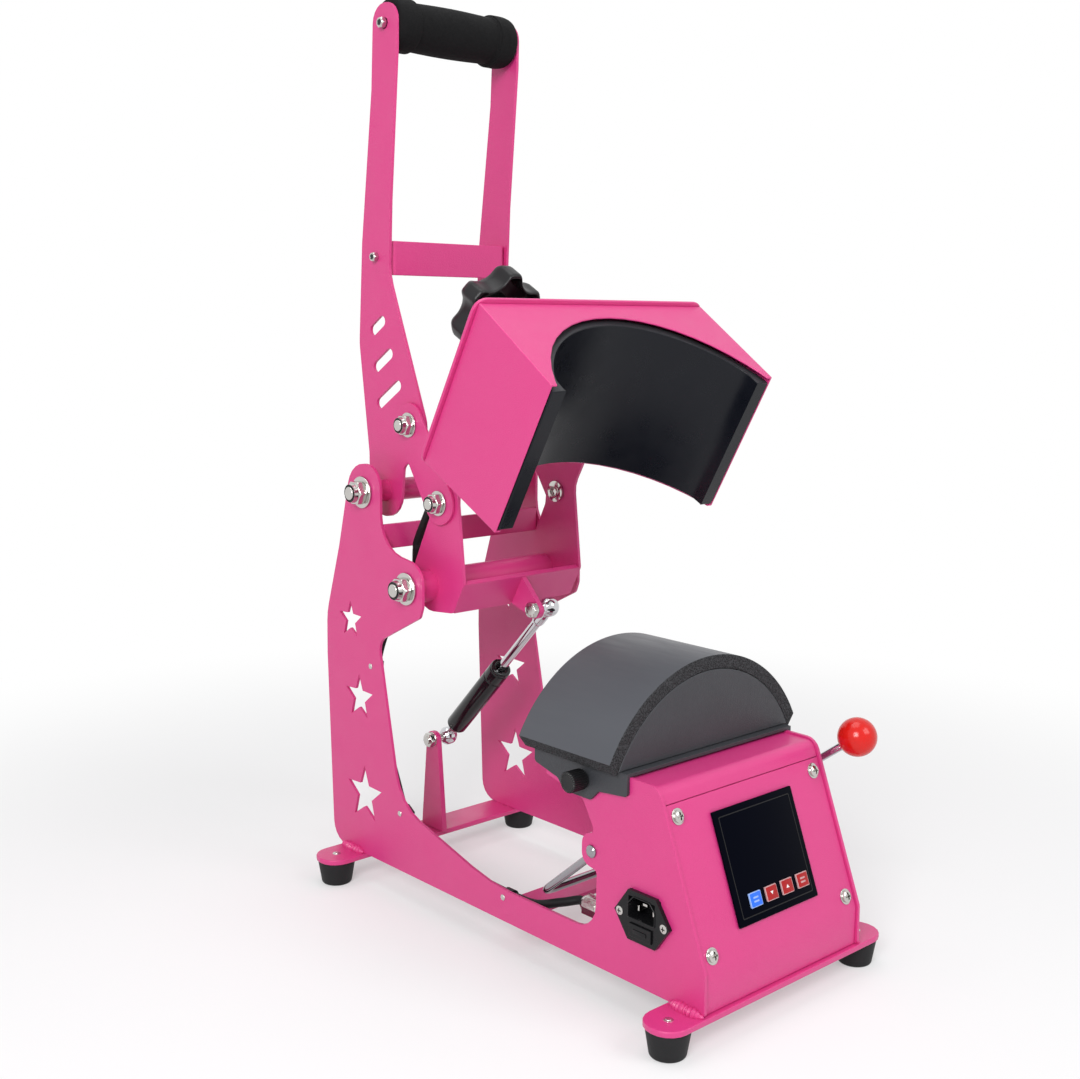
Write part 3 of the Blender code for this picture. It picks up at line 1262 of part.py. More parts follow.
def spring_post():
    """A tapered plate standing on the rear bar, with the lower ball stud through its top."""
    middle = -POST_T / 2
    base_z = BAR_TOP + GAP
    y = SPRING_LOW.x
    corners = [
        (y - POST_BASE / 2, base_z, 0.0),
        (y - POST_TOP / 2, SPRING_LOW.y + POST_TOP / 2, POST_TOP / 2),
        (y + POST_TOP / 2, SPRING_LOW.y + POST_TOP / 2, POST_TOP / 2),
        (y + POST_BASE / 2, base_z, 0.0),
    ]
    post = flat([filleted(corners), circle(SPRING_LOW, BALL_STUD_SHANK_R + GAP)], POST_T, middle)
    finished(post, "spring_post", PINK, PRESS)
    face = middle - POST_T / 2 - GAP
    stack = [
        (face - STUD_NUT_T, STUD_NUT_T, STUD_NUT_R, HEX_SIDES),
        (face - STUD_NUT_T / 2, SPRING_X - face + STUD_NUT_T / 2, BALL_STUD_SHANK_R, SMALL_SIDES),
    ]
    parts = [rod((x, *SPRING_LOW), length, radius, "X", sides) for x, length, radius, sides in stack]
    stud_ball = ball((SPRING_X, *SPRING_LOW), BALL_STUD_R, SMALL_SIDES)
    finished(settled(weld(parts[1], parts[0], stud_ball)), "spring_low_stud", STEEL, PRESS)


def in_arm_frame(point):
    """A point of the open press in the arm's own frame."""
    local = swung(Vector(point[1:]) - LOWER_PIVOT, OPEN_ANGLE)
    return Vector((point[0], *local))


def heater_lead():
    """The lead is made in two lengths, one on the head and one on the frame, end to end."""
    split = LEAD_SPLIT
    way = Vector(LEAD_SPLIT_WAY).normalized()
    last = [in_arm_frame(point) for point in (split - way * LEAD_SPLIT_RUN, split)]
    finished(tube([*LEAD_HEAD_ROUTE, *last], LEAD_R), "heater_lead_upper", BLACK_LEAD, ARM_AXIS)
    frame_route = [split + way * 2 * GAP, split + way * LEAD_SPLIT_RUN, *LEAD_FRAME_ROUTE]
    finished(tube(frame_route, LEAD_R), "heater_lead_lower", BLACK_LEAD, PRESS)


def lead_clips():
    """Clips that wrap the lead, each with a tab that is screwed to the left plate."""
    for count, (first, last) in enumerate(CLIP_STRETCHES):
        start = LEAD_FRAME_ROUTE[first]
        way = LEAD_FRAME_ROUTE[last] - start
        axis = empty(f"lead_clip_{count + 1}_axis", start + way / 2, math.atan2(way.z, way.y), PRESS)
        radius = LEAD_R + LEAD_PLAY + CLIP_WALL
        half = CLIP_WIDTH / 2
        ring = rod((0, -half, 0), CLIP_WIDTH, radius, "Y", SMALL_SIDES)
        tab = block((-radius, -half, 0), (-radius + 2 * CLIP_WALL, half, CLIP_TAB))
        bore = rod((0, -half - OVERRUN, 0), CLIP_WIDTH + 2 * OVERRUN, LEAD_R + LEAD_PLAY, "Y", SMALL_SIDES)
        finished(settled(cut(weld(ring, tab), bore)), f"lead_clip_{count + 1}", BLACK_PLASTIC, axis)


def lead_gland():
    """The gland on the rear wall of the control box, which the lead's lower end meets."""
    x, end, z = LEAD_FRAME_ROUTE[-1]
    face = HOUSING_REAR + GAP
    tip = end - GAP
    nut = rod((x, face, z), GLAND_NUT_T, GLAND_NUT_R, "Y", HEX_SIDES)
    body = rod((x, face, z), tip - GLAND_END_T - face, GLAND_BODY_R, "Y", SMALL_SIDES)
    cap = rod((x, tip - GLAND_END_T - GLAND_CAP_T, z), GLAND_CAP_T, GLAND_CAP_R, "Y", HEX_SIDES)
    collar = rod((x, tip - GLAND_END_T, z), GLAND_END_T, GLAND_BODY_R, "Y", SMALL_SIDES, GLAND_END_R)
    finished(settled(weld(body, nut, cap, collar)), "lead_gland", STEEL, PRESS)


def build():
    side_plates()
    base_bars()
    feet()
    pivot_bolts()
    display(panel_frame(control_box()))
    mains_inlet()
    platen()
    thumb_screws()
    bail()
    lever()
    lever_brace()
    grip()
    links()
    swing_arm()
    heating_head()
    pressure_screw()
    gas_spring()
    spring_post()
    heater_lead()
    lead_clips()
    lead_gland()


build()
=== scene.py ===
"""The cap heat press dressed for the studio: rounded powder-coated plates, bright fasteners, the
curved platen with its silicone pad, the heating head, the control panel and the small fittings."""
import json
import math

import bmesh
import bpy
import numpy as np
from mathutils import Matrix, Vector

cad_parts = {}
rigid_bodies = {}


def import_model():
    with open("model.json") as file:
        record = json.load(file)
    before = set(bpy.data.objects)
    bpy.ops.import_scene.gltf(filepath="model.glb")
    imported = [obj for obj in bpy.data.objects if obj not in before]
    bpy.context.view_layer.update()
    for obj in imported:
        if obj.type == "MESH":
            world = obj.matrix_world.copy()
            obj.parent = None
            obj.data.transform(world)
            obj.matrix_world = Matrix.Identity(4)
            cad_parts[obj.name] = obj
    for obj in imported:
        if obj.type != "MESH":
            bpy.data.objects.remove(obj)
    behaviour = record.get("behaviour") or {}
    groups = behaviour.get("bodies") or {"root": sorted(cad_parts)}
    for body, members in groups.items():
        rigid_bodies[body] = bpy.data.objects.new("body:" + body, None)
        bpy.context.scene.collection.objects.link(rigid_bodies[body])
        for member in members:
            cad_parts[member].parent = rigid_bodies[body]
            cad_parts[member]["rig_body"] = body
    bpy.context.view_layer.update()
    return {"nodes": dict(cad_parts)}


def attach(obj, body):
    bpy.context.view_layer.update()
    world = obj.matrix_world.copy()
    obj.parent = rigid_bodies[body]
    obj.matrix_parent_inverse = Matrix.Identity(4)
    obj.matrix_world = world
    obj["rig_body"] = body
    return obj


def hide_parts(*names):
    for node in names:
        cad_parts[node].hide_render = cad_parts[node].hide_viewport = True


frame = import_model()

TURN = 2 * math.pi
FRONT_FOOT_Y = -0.19695
OPEN_DEGREES = 61.4
CAMERA_PLACE = (-0.7323, -0.76385, 0.4686)
CAMERA_DEGREES = (80.998, -0.482, -42.234)
CAMERA_LENS_MM = 46.97

# Distances from the press's middle plane, along X
SIDE_PLATE_OUT = 0.0843
LINK_BOLT_IN = 0.0594
ARM_PLATE_OUT = 0.0622
LEVER_PLATE_OUT = 0.0625
LINK_PLATE_OUT = 0.0653

# Places as (y, z) in the axes of the piece that carries them
LEVER_EYE = (-0.0359, 0.0551)
ARM_EYE = (-0.0667, 0.018)
LINK_LENGTH = 0.06923
GRIP_PLACE = (-0.0045, 0.3616)
STRUT_FOOT = (0.3697, 0.1047)
STRUT_X = 0.013
STRUT_LENGTH = 0.18716
SCREW_Y = -0.19055
REAR_BAR_Y = 0.3752

WELD_GAP = 2e-7
SHARP_DEGREES = 38


def in_scene(name, data):
    made = bpy.data.objects.new(name, data)
    bpy.context.scene.collection.objects.link(made)
    return made


# Camera, at the photograph's angle
def photo_camera():
    lens = bpy.data.cameras.new("photo_camera")
    lens.lens = CAMERA_LENS_MM
    lens.sensor_width = 36.0
    lens.clip_start = 0.01
    made = in_scene("photo_camera", lens)
    made.location = CAMERA_PLACE
    made.rotation_euler = [math.radians(a) for a in CAMERA_DEGREES]
    bpy.context.scene.camera = made


photo_camera()


# Places: each gives a function that carries points from a part's own axes to the press
def tilted(x, y, z, degrees=0.0):
    """Turns points about +X, then moves them; y is measured from the line of the front feet."""
    a = math.radians(degrees)
    turn = np.array([[1, 0, 0], [0, math.cos(a), -math.sin(a)], [0, math.sin(a), math.cos(a)]])
    return lambda points: np.asarray(points, float) @ turn.T + (x, y + FRONT_FOOT_Y, z)


PRESS = tilted(0, 0, 0)
LEVER = tilted(0, 0.3564, 0.3284)
ARM = tilted(0, 0.299, 0.25821, -OPEN_DEGREES)
LINK = tilted(0, 0.3205, 0.3835, -122.92)
STRUT = tilted(STRUT_X, *STRUT_FOOT, 133.612)
PANEL = tilted(0, 0.02591, 0.15472, -20.903)
BAIL = tilted(0, 0.0897, 0.1062)


def facing(direction, place=(0, 0, 0)):
    """Carries local +Z to a direction: the other two axes are any pair square to it."""
    z = np.array(direction, float) / np.linalg.norm(direction)
    x = np.cross((0, 1, 0) if abs(z[1]) < 0.9 else (1, 0, 0), z)
    x /= np.linalg.norm(x)
    turn = np.stack([x, np.cross(z, x), z])
    return lambda points: np.asarray(points, float) @ turn + place


def shifted(x=0.0, y=0.0, z=0.0):
    return lambda points: np.asarray(points, float) + (x, y, z)


def moved(part, *ways):
    points, faces = part
    for way in ways:
        points = way(points)
    return points, faces


# Shapes: each is (points, faces)
def grid(points, wrap=False, capped=False):
    """Faces over a grid of points: rows by columns, the columns closed on themselves for a ring,
    and the first and last rows filled."""
    points = np.asarray(points, float)
    rows, cols = points.shape[:2]
    r, c = np.meshgrid(np.arange(rows - 1), np.arange(cols if wrap else cols - 1), indexing="ij")
    n = (c + 1) % cols
    faces = np.stack([r * cols + c, r * cols + n, (r + 1) * cols + n, (r + 1) * cols + c], -1)
    faces = faces.reshape(-1, 4).tolist()
    if capped:
        faces += [list(range(cols))[::-1], list(range((rows - 1) * cols, rows * cols))]
    return points.reshape(-1, 3), faces


def angles(count):
    return np.arange(count) * TURN / count


def from_flat(a):
    """The angle from the nearest of six directions, the first of them at 0."""
    return (a + TURN / 12) % (TURN / 6) - TURN / 12


def revolved(radius, a, z, capped=True):
    """Rows of points at a radius, angle and height, joined round."""
    points = np.stack(np.broadcast_arrays(radius * np.cos(a), radius * np.sin(a), z), -1)
    return grid(points, wrap=True, capped=capped)


def turned(profile, sides=48, ripple=None):
    """A profile of (radius, height) points turned about +Z: x = r cos a, y = r sin a. A ripple is
    a function of the angle and height that is added to the radius."""
    profile = np.array(profile, float)
    a = angles(sides)
    radius = np.repeat(profile[:, :1], sides, 1)
    height = np.repeat(profile[:, 1:], sides, 1)
    if ripple is not None:
        radius = radius + ripple(a[None, :], height) * (radius > 1e-6)
    return revolved(radius, a, height)


def rounded(corners, steps=4):
    """An open profile whose corners (r, z, radius) become arcs tangent to both sides."""
    out = [np.array(corners[0][:2], float)]
    for before, corner, after in zip(corners, corners[1:], corners[2:]):
        here = np.array(corner[:2], float)
        a, b = np.array(before[:2]) - here, np.array(after[:2]) - here
        la, lb = np.linalg.norm(a), np.linalg.norm(b)
        reach = min(corner[2], la * 0.49, lb * 0.49) if len(corner) > 2 else 0
        if reach <= 0:
            out.append(here)
            continue
        t = np.linspace(0, 1, steps + 1)[:, None]
        out.extend(here + a / la * reach * (1 - t) ** 2 + b / lb * reach * t ** 2)
    out.append(np.array(corners[-1][:2], float))
    return np.array(out)


def lathe(corners, sides=48, steps=4, ripple=None):
    """A turned shape from a profile with rounded corners."""
    return turned(rounded(corners, steps), sides, ripple)


def outline(corners, steps=6):
    """A closed outline of (x, y, radius) corners, each rounded with an arc."""
    ring = [corners[-1], *corners, corners[0]]
    return rounded(ring, steps)[1:-1]


def box_outline(low, high, radius, steps=6):
    (x0, y0), (x1, y1) = low, high
    return outline([(x0, y0, radius), (x1, y0, radius), (x1, y1, radius), (x0, y1, radius)], steps)


def centred_box(half_x, half_y, radius):
    return box_outline((-half_x, -half_y), (half_x, half_y), radius)


def ring_outline(radius, sides, centre=(0, 0)):
    a = angles(sides)
    return np.stack([centre[0] + radius * np.cos(a), centre[1] + radius * np.sin(a)], -1)


def plate(outlines, thickness, edge=0.0004, steps=2):
    """A flat plate with rounded edges: closed outlines in XY, the first outside and the rest
    holes, filled and thickened along Z about the middle."""
    data = bpy.data.curves.new("plate", "CURVE")
    data.dimensions = "2D"
    data.fill_mode = "BOTH"
    data.extrude = max(thickness / 2 - edge, 1e-6)
    data.bevel_depth = edge
    data.offset = -edge
    data.bevel_resolution = steps
    for ring in outlines:
        spline = data.splines.new("POLY")
        spline.points.add(len(ring) - 1)
        flat = np.zeros((len(ring), 4))
        flat[:, :2] = np.asarray(ring)[:, :2]
        flat[:, 3] = 1
        spline.points.foreach_set("co", flat.ravel())
        spline.use_cyclic_u = True
    holder = in_scene("plate", data)
    mesh = bpy.data.meshes.new_from_object(holder.evaluated_get(bpy.context.evaluated_depsgraph_get()))
    points = np.zeros(len(mesh.vertices) * 3)
    mesh.vertices.foreach_get("co", points)
    faces = [list(face.vertices) for face in mesh.polygons]
    bpy.data.objects.remove(holder)
    bpy.data.meshes.remove(mesh)
    return points.reshape(-1, 3), faces


def smooth_path(knots, count=12):
    """Catmull-Rom through the knots: each stretch is a cubic in t over its four nearest knots."""
    k = np.asarray(knots, float)
    k = np.concatenate([2 * k[:1] - k[1:2], k, 2 * k[-1:] - k[-2:-1]])
    t = np.linspace(0, 1, count, endpoint=False)[None, :, None]
    a, b, c, d = (k[i:len(k) - 3 + i, None] for i in range(4))
    bend = 2 * a - 5 * b + 4 * c - d
    twist = 3 * b - a - 3 * c + d
    path = b + (c - a) * t / 2 + bend * t ** 2 / 2 + twist * t ** 3 / 2
    return np.concatenate([path.reshape(-1, 3), k[-2:-1]])


def swept(path, section, side=(1, 0, 0), size=None):
    """A section (u, v) carried along a path: u lies along the side direction made square to the
    path, v square to both. Size scales the section at each point of the path."""
    path = np.asarray(path, float)
    way = np.gradient(path, axis=0)
    way /= np.linalg.norm(way, axis=1)[:, None]
    u = np.array(side, float) - way * (way @ np.array(side, float))[:, None]
    u /= np.linalg.norm(u, axis=1)[:, None]
    v = np.cross(way, u)
    section = np.asarray(section, float)
    size = np.ones(len(path)) if size is None else np.asarray(size)
    points = path[:, None] + size[:, None, None] * (
        u[:, None] * section[None, :, :1] + v[:, None] * section[None, :, 1:2]
    )
    return grid(points, wrap=True, capped=True)


def nut(flats, height, bevel=0.18):
    """A hexagon whose corners are cut by a cone: the radius is the lesser of the hexagon's,
    flats / 2 / cos of the angle from the nearest flat, and the cone's at that height."""
    a = angles(96)
    hexagon = flats / 2 / np.cos(from_flat(a))
    z = np.array([0, 0, 0.04, 0.1, 0.18, 0.82, 0.9, 0.96, 1, 1]) * height
    depth = np.minimum(z, height - z)
    cone = flats / 2 * (1 + 0.155) - bevel * flats / 2 * np.clip(1 - depth / (bevel * height), 0, 1) ** 1.3
    radius = np.minimum(hexagon[None, :], cone[:, None])
    radius[0] = radius[-1] = 0
    return revolved(radius, a, z[:, None])


def thread(radius, length, pitch=0.0015, depth=0.0005):
    """A screw thread: the radius falls by the depth times a triangle wave of z / pitch - a / 2 pi."""
    rows = max(8, int(length / pitch * 6))
    z = np.linspace(0, length, rows)[:, None]
    a = angles(32)
    wave = np.abs(((z / pitch - a / TURN) % 1) * 2 - 1)
    fade = np.clip(np.minimum(z, length - z) / pitch, 0, 1)
    r = radius - depth * wave * fade - 0.6 * depth * (1 - fade)
    return revolved(r, a, z)


def lock_nut(bolt_r, flats, height):
    """A hexagon nut with its round collar, the dark ring inside the collar and the bolt's end."""
    low, top = height * 0.56, height * 0.9
    hole_low, ring_top = top - height * 0.16, top - height * 0.07
    collar = lathe([
        (0, low), (flats * 0.455, low, 0), (flats * 0.44, height * 0.68, flats * 0.04),
        (flats * 0.405, top, flats * 0.05), (bolt_r * 1.24, top, bolt_r * 0.06),
        (bolt_r * 1.22, hole_low, 0), (0, hole_low),
    ])
    ring_r = bolt_r * 1.21
    ring = lathe([(0, low), (ring_r, low, 0), (ring_r, ring_top, bolt_r * 0.05), (0, ring_top)])
    end = lathe([
        (0, 0), (bolt_r * 0.92, 0, 0), (bolt_r * 0.92, height, bolt_r * 0.2),
        (bolt_r * 0.5, height, bolt_r * 0.1), (0, height - bolt_r * 0.1),
    ], 32)
    return [(nut(flats, height * 0.6), ZINC), (collar, ZINC), (ring, SOCKET_SHADE_AND_NYLON), (end, ZINC)]


def washer(inner, outer, thickness):
    edge = thickness * 0.3
    profile = rounded([(inner, 0), (outer, 0, edge), (outer, thickness, edge), (inner, thickness)], 3)
    profile = np.concatenate([profile, profile[:1]])
    return revolved(profile[:, :1], angles(64), profile[:, 1:], capped=False)


def driven_head(radius, height, recess, size, sink=0.5):
    """A screw head as a height over polar rings: a dome, less a recess where the point lies inside
    a cross or a hexagon. The sides drop to the seat."""
    r = np.concatenate([np.linspace(0, 0.97, 26), [0.99, 1.0, 1.0]])
    a = angles(96)
    x, y = r[:, None] * np.cos(a), r[:, None] * np.sin(a)
    z = height * (1 - 0.45 * r[:, None] ** 3.2 + 0 * a)
    if recess == "cross":
        wide, tall = np.abs(x), np.abs(y)
        arm = np.minimum(np.maximum(wide * 4.2, tall), np.maximum(tall * 4.2, wide))
        inside = np.clip((size * 1.25 - arm) / 0.06, 0, 1)
    else:
        hexagon = r[:, None] * np.cos(from_flat(a))
        inside = np.clip((size - hexagon) / 0.05, 0, 1)
    z = z - height * sink * inside
    z[-1] = 0
    return grid(np.stack([x * radius, y * radius, z], -1)[::-1], wrap=True, capped=True)


def bead(path, width, seed):
    """A weld bead: a round section carried along a level path, its size rippling with the length."""
    path = np.asarray(path, float)
    length = np.concatenate([[0], np.cumsum(np.linalg.norm(np.diff(path, axis=0), axis=1))])
    count = max(12, int(length[-1] / 0.0007))
    s = np.linspace(0, length[-1], count)
    line = np.stack([np.interp(s, length, path[:, i]) for i in range(3)], -1)
    quick, slow = s * TURN / 0.0031 + seed, s * TURN / 0.0117 + 2.1 * seed
    ripple = 1 + 0.16 * np.sin(quick) + 0.1 * np.sin(slow)
    ends = np.clip(np.minimum(s, length[-1] - s) / width, 0.05, 1) ** 0.5
    return swept(line, ring_outline(width / 2, 12), (0, 0, 1), ripple * ends)


# Finishes
def set_inputs(tree, made, values=(), led=()):
    """Sets a node's plain inputs, and leads other nodes' outputs to the rest."""
    for name, value in dict(values).items():
        made.inputs[name].default_value = value
    for name, output in dict(led).items():
        tree.links.new(output, made.inputs[name])
    return made


def add_node(tree, kind, values=(), led=(), **options):
    """A new shader node with these inputs. The options come first: they decide which inputs it has."""
    made = tree.nodes.new("ShaderNode" + kind)
    for name, value in options.items():
        setattr(made, name, value)
    return set_inputs(tree, made, values, led)


def finish(name, colour, rough, metal=0.0, mottle=0.08, mottle_scale=9.0, grain=900.0, grain_depth=0.05,
           rough_spread=0.06, coat=0.0, coat_rough=0.2, stretch=(1, 1, 1), cell_shade=None, specular=0.5,
           sheen=0.0):
    """A surface with drifting colour, fine grain in the bump and an uneven gloss. A cell shade is
    (scale, dark share): cells that dent the surface, with painted shade that darkens each dent."""
    made = bpy.data.materials.new(name)
    made.use_nodes = True
    tree = made.node_tree
    place = add_node(tree, "TexCoord").outputs["Object"]
    at = {"Vector": add_node(tree, "Mapping", {"Scale": stretch}, {"Vector": place}).outputs["Vector"]}

    def noise(scale, detail):
        return add_node(tree, "TexNoise", {"Scale": scale, "Detail": detail}, at).outputs["Fac"]

    def blend(colours, led):
        return add_node(tree, "Mix", colours, led, data_type="RGBA").outputs["Result"]

    def ranged(value, limits):
        names = ("From Min", "From Max", "To Min", "To Max")
        return add_node(tree, "MapRange", zip(names, limits), {"Value": value}).outputs["Result"]

    dark = [*(c * (1 - mottle) for c in colour), 1]
    light = [*(min(1.0, c * (1 + mottle)) for c in colour), 1]
    base = blend({"A": dark, "B": light}, {"Factor": noise(mottle_scale, 4)})
    height = noise(grain, 3)
    # Painted shade in the cells: the colour falls to the dark share where the surface is dented.
    if cell_shade:
        scale, share = cell_shade
        cells = add_node(tree, "TexVoronoi", {"Scale": scale}, at).outputs["Distance"]
        open_share = ranged(cells, (0.15, 0.6))
        low = [*(c * share for c in colour), 1]
        base = blend({"A": low}, {"Factor": open_share, "B": base})
        height = add_node(tree, "Math", led={0: height, 1: open_share}).outputs["Value"]
    gloss = (0.3, 0.7, max(0.02, rough - rough_spread), min(1.0, rough + rough_spread))
    bump = add_node(tree, "Bump", {"Strength": grain_depth, "Distance": 0.001}, {"Height": height})
    set_inputs(tree, tree.nodes["Principled BSDF"], {
        "Metallic": metal, "Coat Weight": coat, "Coat Roughness": coat_rough,
        "Specular IOR Level": specular, "Sheen Weight": sheen,
    }, {
        "Base Color": base, "Roughness": ranged(noise(mottle_scale * 7, 5), gloss),
        "Normal": bump.outputs["Normal"],
    })
    return made


# Painted and moulded surfaces
PINK = finish(
    "pink_powder_coat", (0.62, 0.036, 0.205), 0.4, mottle=0.03, mottle_scale=7, grain=1250,
    grain_depth=0.3, coat=0.24, coat_rough=0.26, rough_spread=0.05, specular=0.46)
RUBBER = finish(
    "black_rubber", (0.012, 0.012, 0.013), 0.6, grain=700, grain_depth=0.12, mottle=0.2, specular=0.25)
PLASTIC = finish(
    "black_plastic", (0.01, 0.01, 0.011), 0.36, grain=1100, grain_depth=0.08, mottle=0.15, specular=0.3)
GLOSS_PLASTIC = finish(
    "black_moulding", (0.007, 0.007, 0.008), 0.26, grain=600, grain_depth=0.03, mottle=0.15, specular=0.22)
PAINTED_TUBE = finish(
    "black_gloss_tube", (0.006, 0.006, 0.007), 0.12, grain=300, grain_depth=0.015, mottle=0.1,
    specular=0.4)
SLEEVE = finish(
    "black_sleeve", (0.009, 0.009, 0.01), 0.55, grain=1600, grain_depth=0.15, mottle=0.2, specular=0.2)
HAMMERED = finish(
    "grey_hammer_coat", (0.04, 0.042, 0.048), 0.44, mottle=0.12, mottle_scale=40, grain=1300,
    grain_depth=0.3, specular=0.35)
SILICONE = finish(
    "grey_silicone", (0.072, 0.076, 0.088), 0.46, mottle=0.09, mottle_scale=30, grain=260,
    stretch=(1, 0.14, 1), sheen=0.1, specular=0.3)
# The pad's cut edges: open cells, with painted shade in each cell's dent.
OPEN_CELL = finish(
    "open_cell_edge", (0.05, 0.051, 0.055), 0.85, mottle=0.5, mottle_scale=700, grain=1500,
    grain_depth=0.7, cell_shade=(950, 0.1), specular=0.2)
FOAM = finish(
    "black_foam", (0.006, 0.006, 0.0065), 0.86, mottle=0.25, mottle_scale=60, grain=1300, grain_depth=0.45,
    specular=0.15)
COATING = finish(
    "black_nonstick", (0.0042, 0.005, 0.0085), 0.31, mottle=0.12, grain=1400, grain_depth=0.08,
    specular=0.24)
CAST_END = finish("dark_cast_end", (0.026, 0.027, 0.031), 0.5, mottle=0.15, grain_depth=0.2, specular=0.25)
RED = finish(
    "red_gloss", (0.6, 0.008, 0.005), 0.2, mottle=0.03, grain=90, grain_depth=0.01, coat=0.15,
    coat_rough=0.1, specular=0.3)
# Dark nylon for the lock nuts' rings; on the screw caps the same finish is painted shade for their sockets.
SOCKET_SHADE_AND_NYLON = finish("dark_nylon_ring", (0.012, 0.016, 0.018), 0.4, mottle=0.1, grain=700, specular=0.3)

# Bright metal
ZINC = finish(
    "bright_zinc", (0.56, 0.545, 0.52), 0.16, 1.0, mottle=0.1, mottle_scale=60, grain=500,
    grain_depth=0.04, rough_spread=0.07)
CHROME = finish(
    "chrome", (0.6, 0.6, 0.62), 0.06, 1.0, mottle=0.02, grain=350, grain_depth=0.008, rough_spread=0.03)
# The bail's wire: chrome darkened as painted shade, for the shade under the platen and the dark parts it
# reflects.
SHADED_WIRE_CHROME = finish(
    "shaded_wire", (0.34, 0.33, 0.35), 0.14, 1.0, mottle=0.05, grain=350, grain_depth=0.02,
    rough_spread=0.04)

# The display and its keys
GLASS = finish(
    "dark_window", (0.0012, 0.0017, 0.0048), 0.1, mottle=0.2, grain=60, grain_depth=0.004, specular=0.02)
BLUE_KEY = finish("blue_key", (0.025, 0.16, 0.86), 0.3, mottle=0.06, specular=0.3)
RED_KEY = finish("red_key", (0.36, 0.006, 0.008), 0.3, mottle=0.06, specular=0.3)
PALE_RIM = finish("pale_key_rim", (0.52, 0.3, 0.31), 0.35, mottle=0.05)
PALE_BLUE = finish("pale_blue_rim", (0.28, 0.42, 0.78), 0.35, mottle=0.05)
WHITE_MARK = finish("white_mark", (0.8, 0.78, 0.78), 0.4, mottle=0.03)


# Pieces
def welded(points, faces, finish_number):
    """One closed shape, its doubled points welded and its faces outward. The finish number is a
    function of the face's index."""
    shape = bmesh.new()
    verts = [shape.verts.new(p) for p in np.asarray(points, float).tolist()]
    for index, face in enumerate(faces):
        if len(set(face)) > 2:
            shape.faces.new([verts[i] for i in face]).material_index = finish_number(index)
    bmesh.ops.remove_doubles(shape, verts=shape.verts, dist=WELD_GAP)
    bmesh.ops.recalc_face_normals(shape, faces=shape.faces)
    return shape


def smooth_mesh(name, shape, looks=(), hard=True):
    """A mesh in these finishes, smooth, with or without its hard edges."""
    data = bpy.data.meshes.new(name)
    shape.to_mesh(data)
    shape.free()
    for look in looks:
        data.materials.append(look)
    data.shade_smooth()
    if hard:
        data.set_sharp_from_angle(angle=math.radians(SHARP_DEGREES))
    return data


def riding(name, data, body, replaces=()):
    """An object that moves with a body and stands for the CAD nodes it replaces."""
    made = in_scene(name, data)
    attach(made, body)
    if replaces:
        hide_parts(*replaces)
    return made


def piece(name, body, parts, replaces=()):
    """One piece from (part, finish) pairs, each part welded by itself."""
    whole = bmesh.new()
    looks = []
    for (points, faces), look in parts:
        if look not in looks:
            looks.append(look)
        data = smooth_mesh("part", welded(points, faces, lambda index: looks.index(look)), hard=False)
        whole.from_mesh(data)
        bpy.data.meshes.remove(data)
    return riding(name, smooth_mesh(name, whole, looks), body, replaces)


def two_finish_piece(name, body, part, first, looks, replaces):
    """One closed mesh whose faces after the first ones take another finish."""
    shape = welded(*part, lambda index: int(index >= first))
    return riding(name, smooth_mesh(name, shape, looks), body, replaces)


def all_in(look, *parts):
    return [(part, look) for part in parts]


def softened(node, look, edge):
    """A copy of the node, merged and its flat faces joined, whose hard edges are rounded off."""
    shape = bmesh.new()
    shape.from_mesh(frame["nodes"][node].data)
    bmesh.ops.remove_doubles(shape, verts=shape.verts, dist=1e-6)
    bmesh.ops.dissolve_limit(
        shape, angle_limit=math.radians(0.6), verts=shape.verts, edges=shape.edges,
        use_dissolve_boundaries=False)
    name = node + "_rounded"
    data = smooth_mesh(name, shape, [look], hard=False)
    made = riding(name, data, frame["nodes"][node]["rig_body"], [node])
    bevel = made.modifiers.new("rounded_edges", "BEVEL")
    bevel.limit_method = "ANGLE"
    bevel.angle_limit = math.radians(33)
    bevel.width = edge
    bevel.segments = 3
    bevel.use_clamp_overlap = True
    even = made.modifiers.new("even_shading", "WEIGHTED_NORMAL")
    even.keep_sharp = False


def painted_steel():
    """The cut plates, bars and welded frames with soft rounded edges, by the edge's radius."""
    edges = {
        "side_plate_left": 0.0009, "side_plate_right": 0.0009, "foot_bar_front": 0.0009,
        "foot_bar_rear": 0.0009, "middle_bar": 0.0006, "tower_brace": 0.0006, "spring_post": 0.0005,
        "control_housing": 0.0008, "front_panel": 0.0009, "lever_frame": 0.0006, "lever_brace": 0.0005,
        "toggle_link_left": 0.0007, "toggle_link_right": 0.0007, "swing_arm": 0.0006, "head_box": 0.0007,
    }
    for node, edge in edges.items():
        softened(node, PINK, edge)


def head_cover():
    """The head's cover plate, standing proud of the box all round, its corners rounded."""
    half, front, rear, proud = 0.1128, -0.2506, -0.1221, 0.003
    rim = box_outline((-half - proud, front - proud), (half + proud, rear + proud), 0.012, 12)
    cover = plate([rim, ring_outline(0.0064, 32, (0, SCREW_Y))], 0.0025, 0.0007, 3)
    part = moved(cover, shifted(z=-0.00065), ARM)
    piece("cover_plate", "heating_head", [(part, PINK)], ["head_cover"])


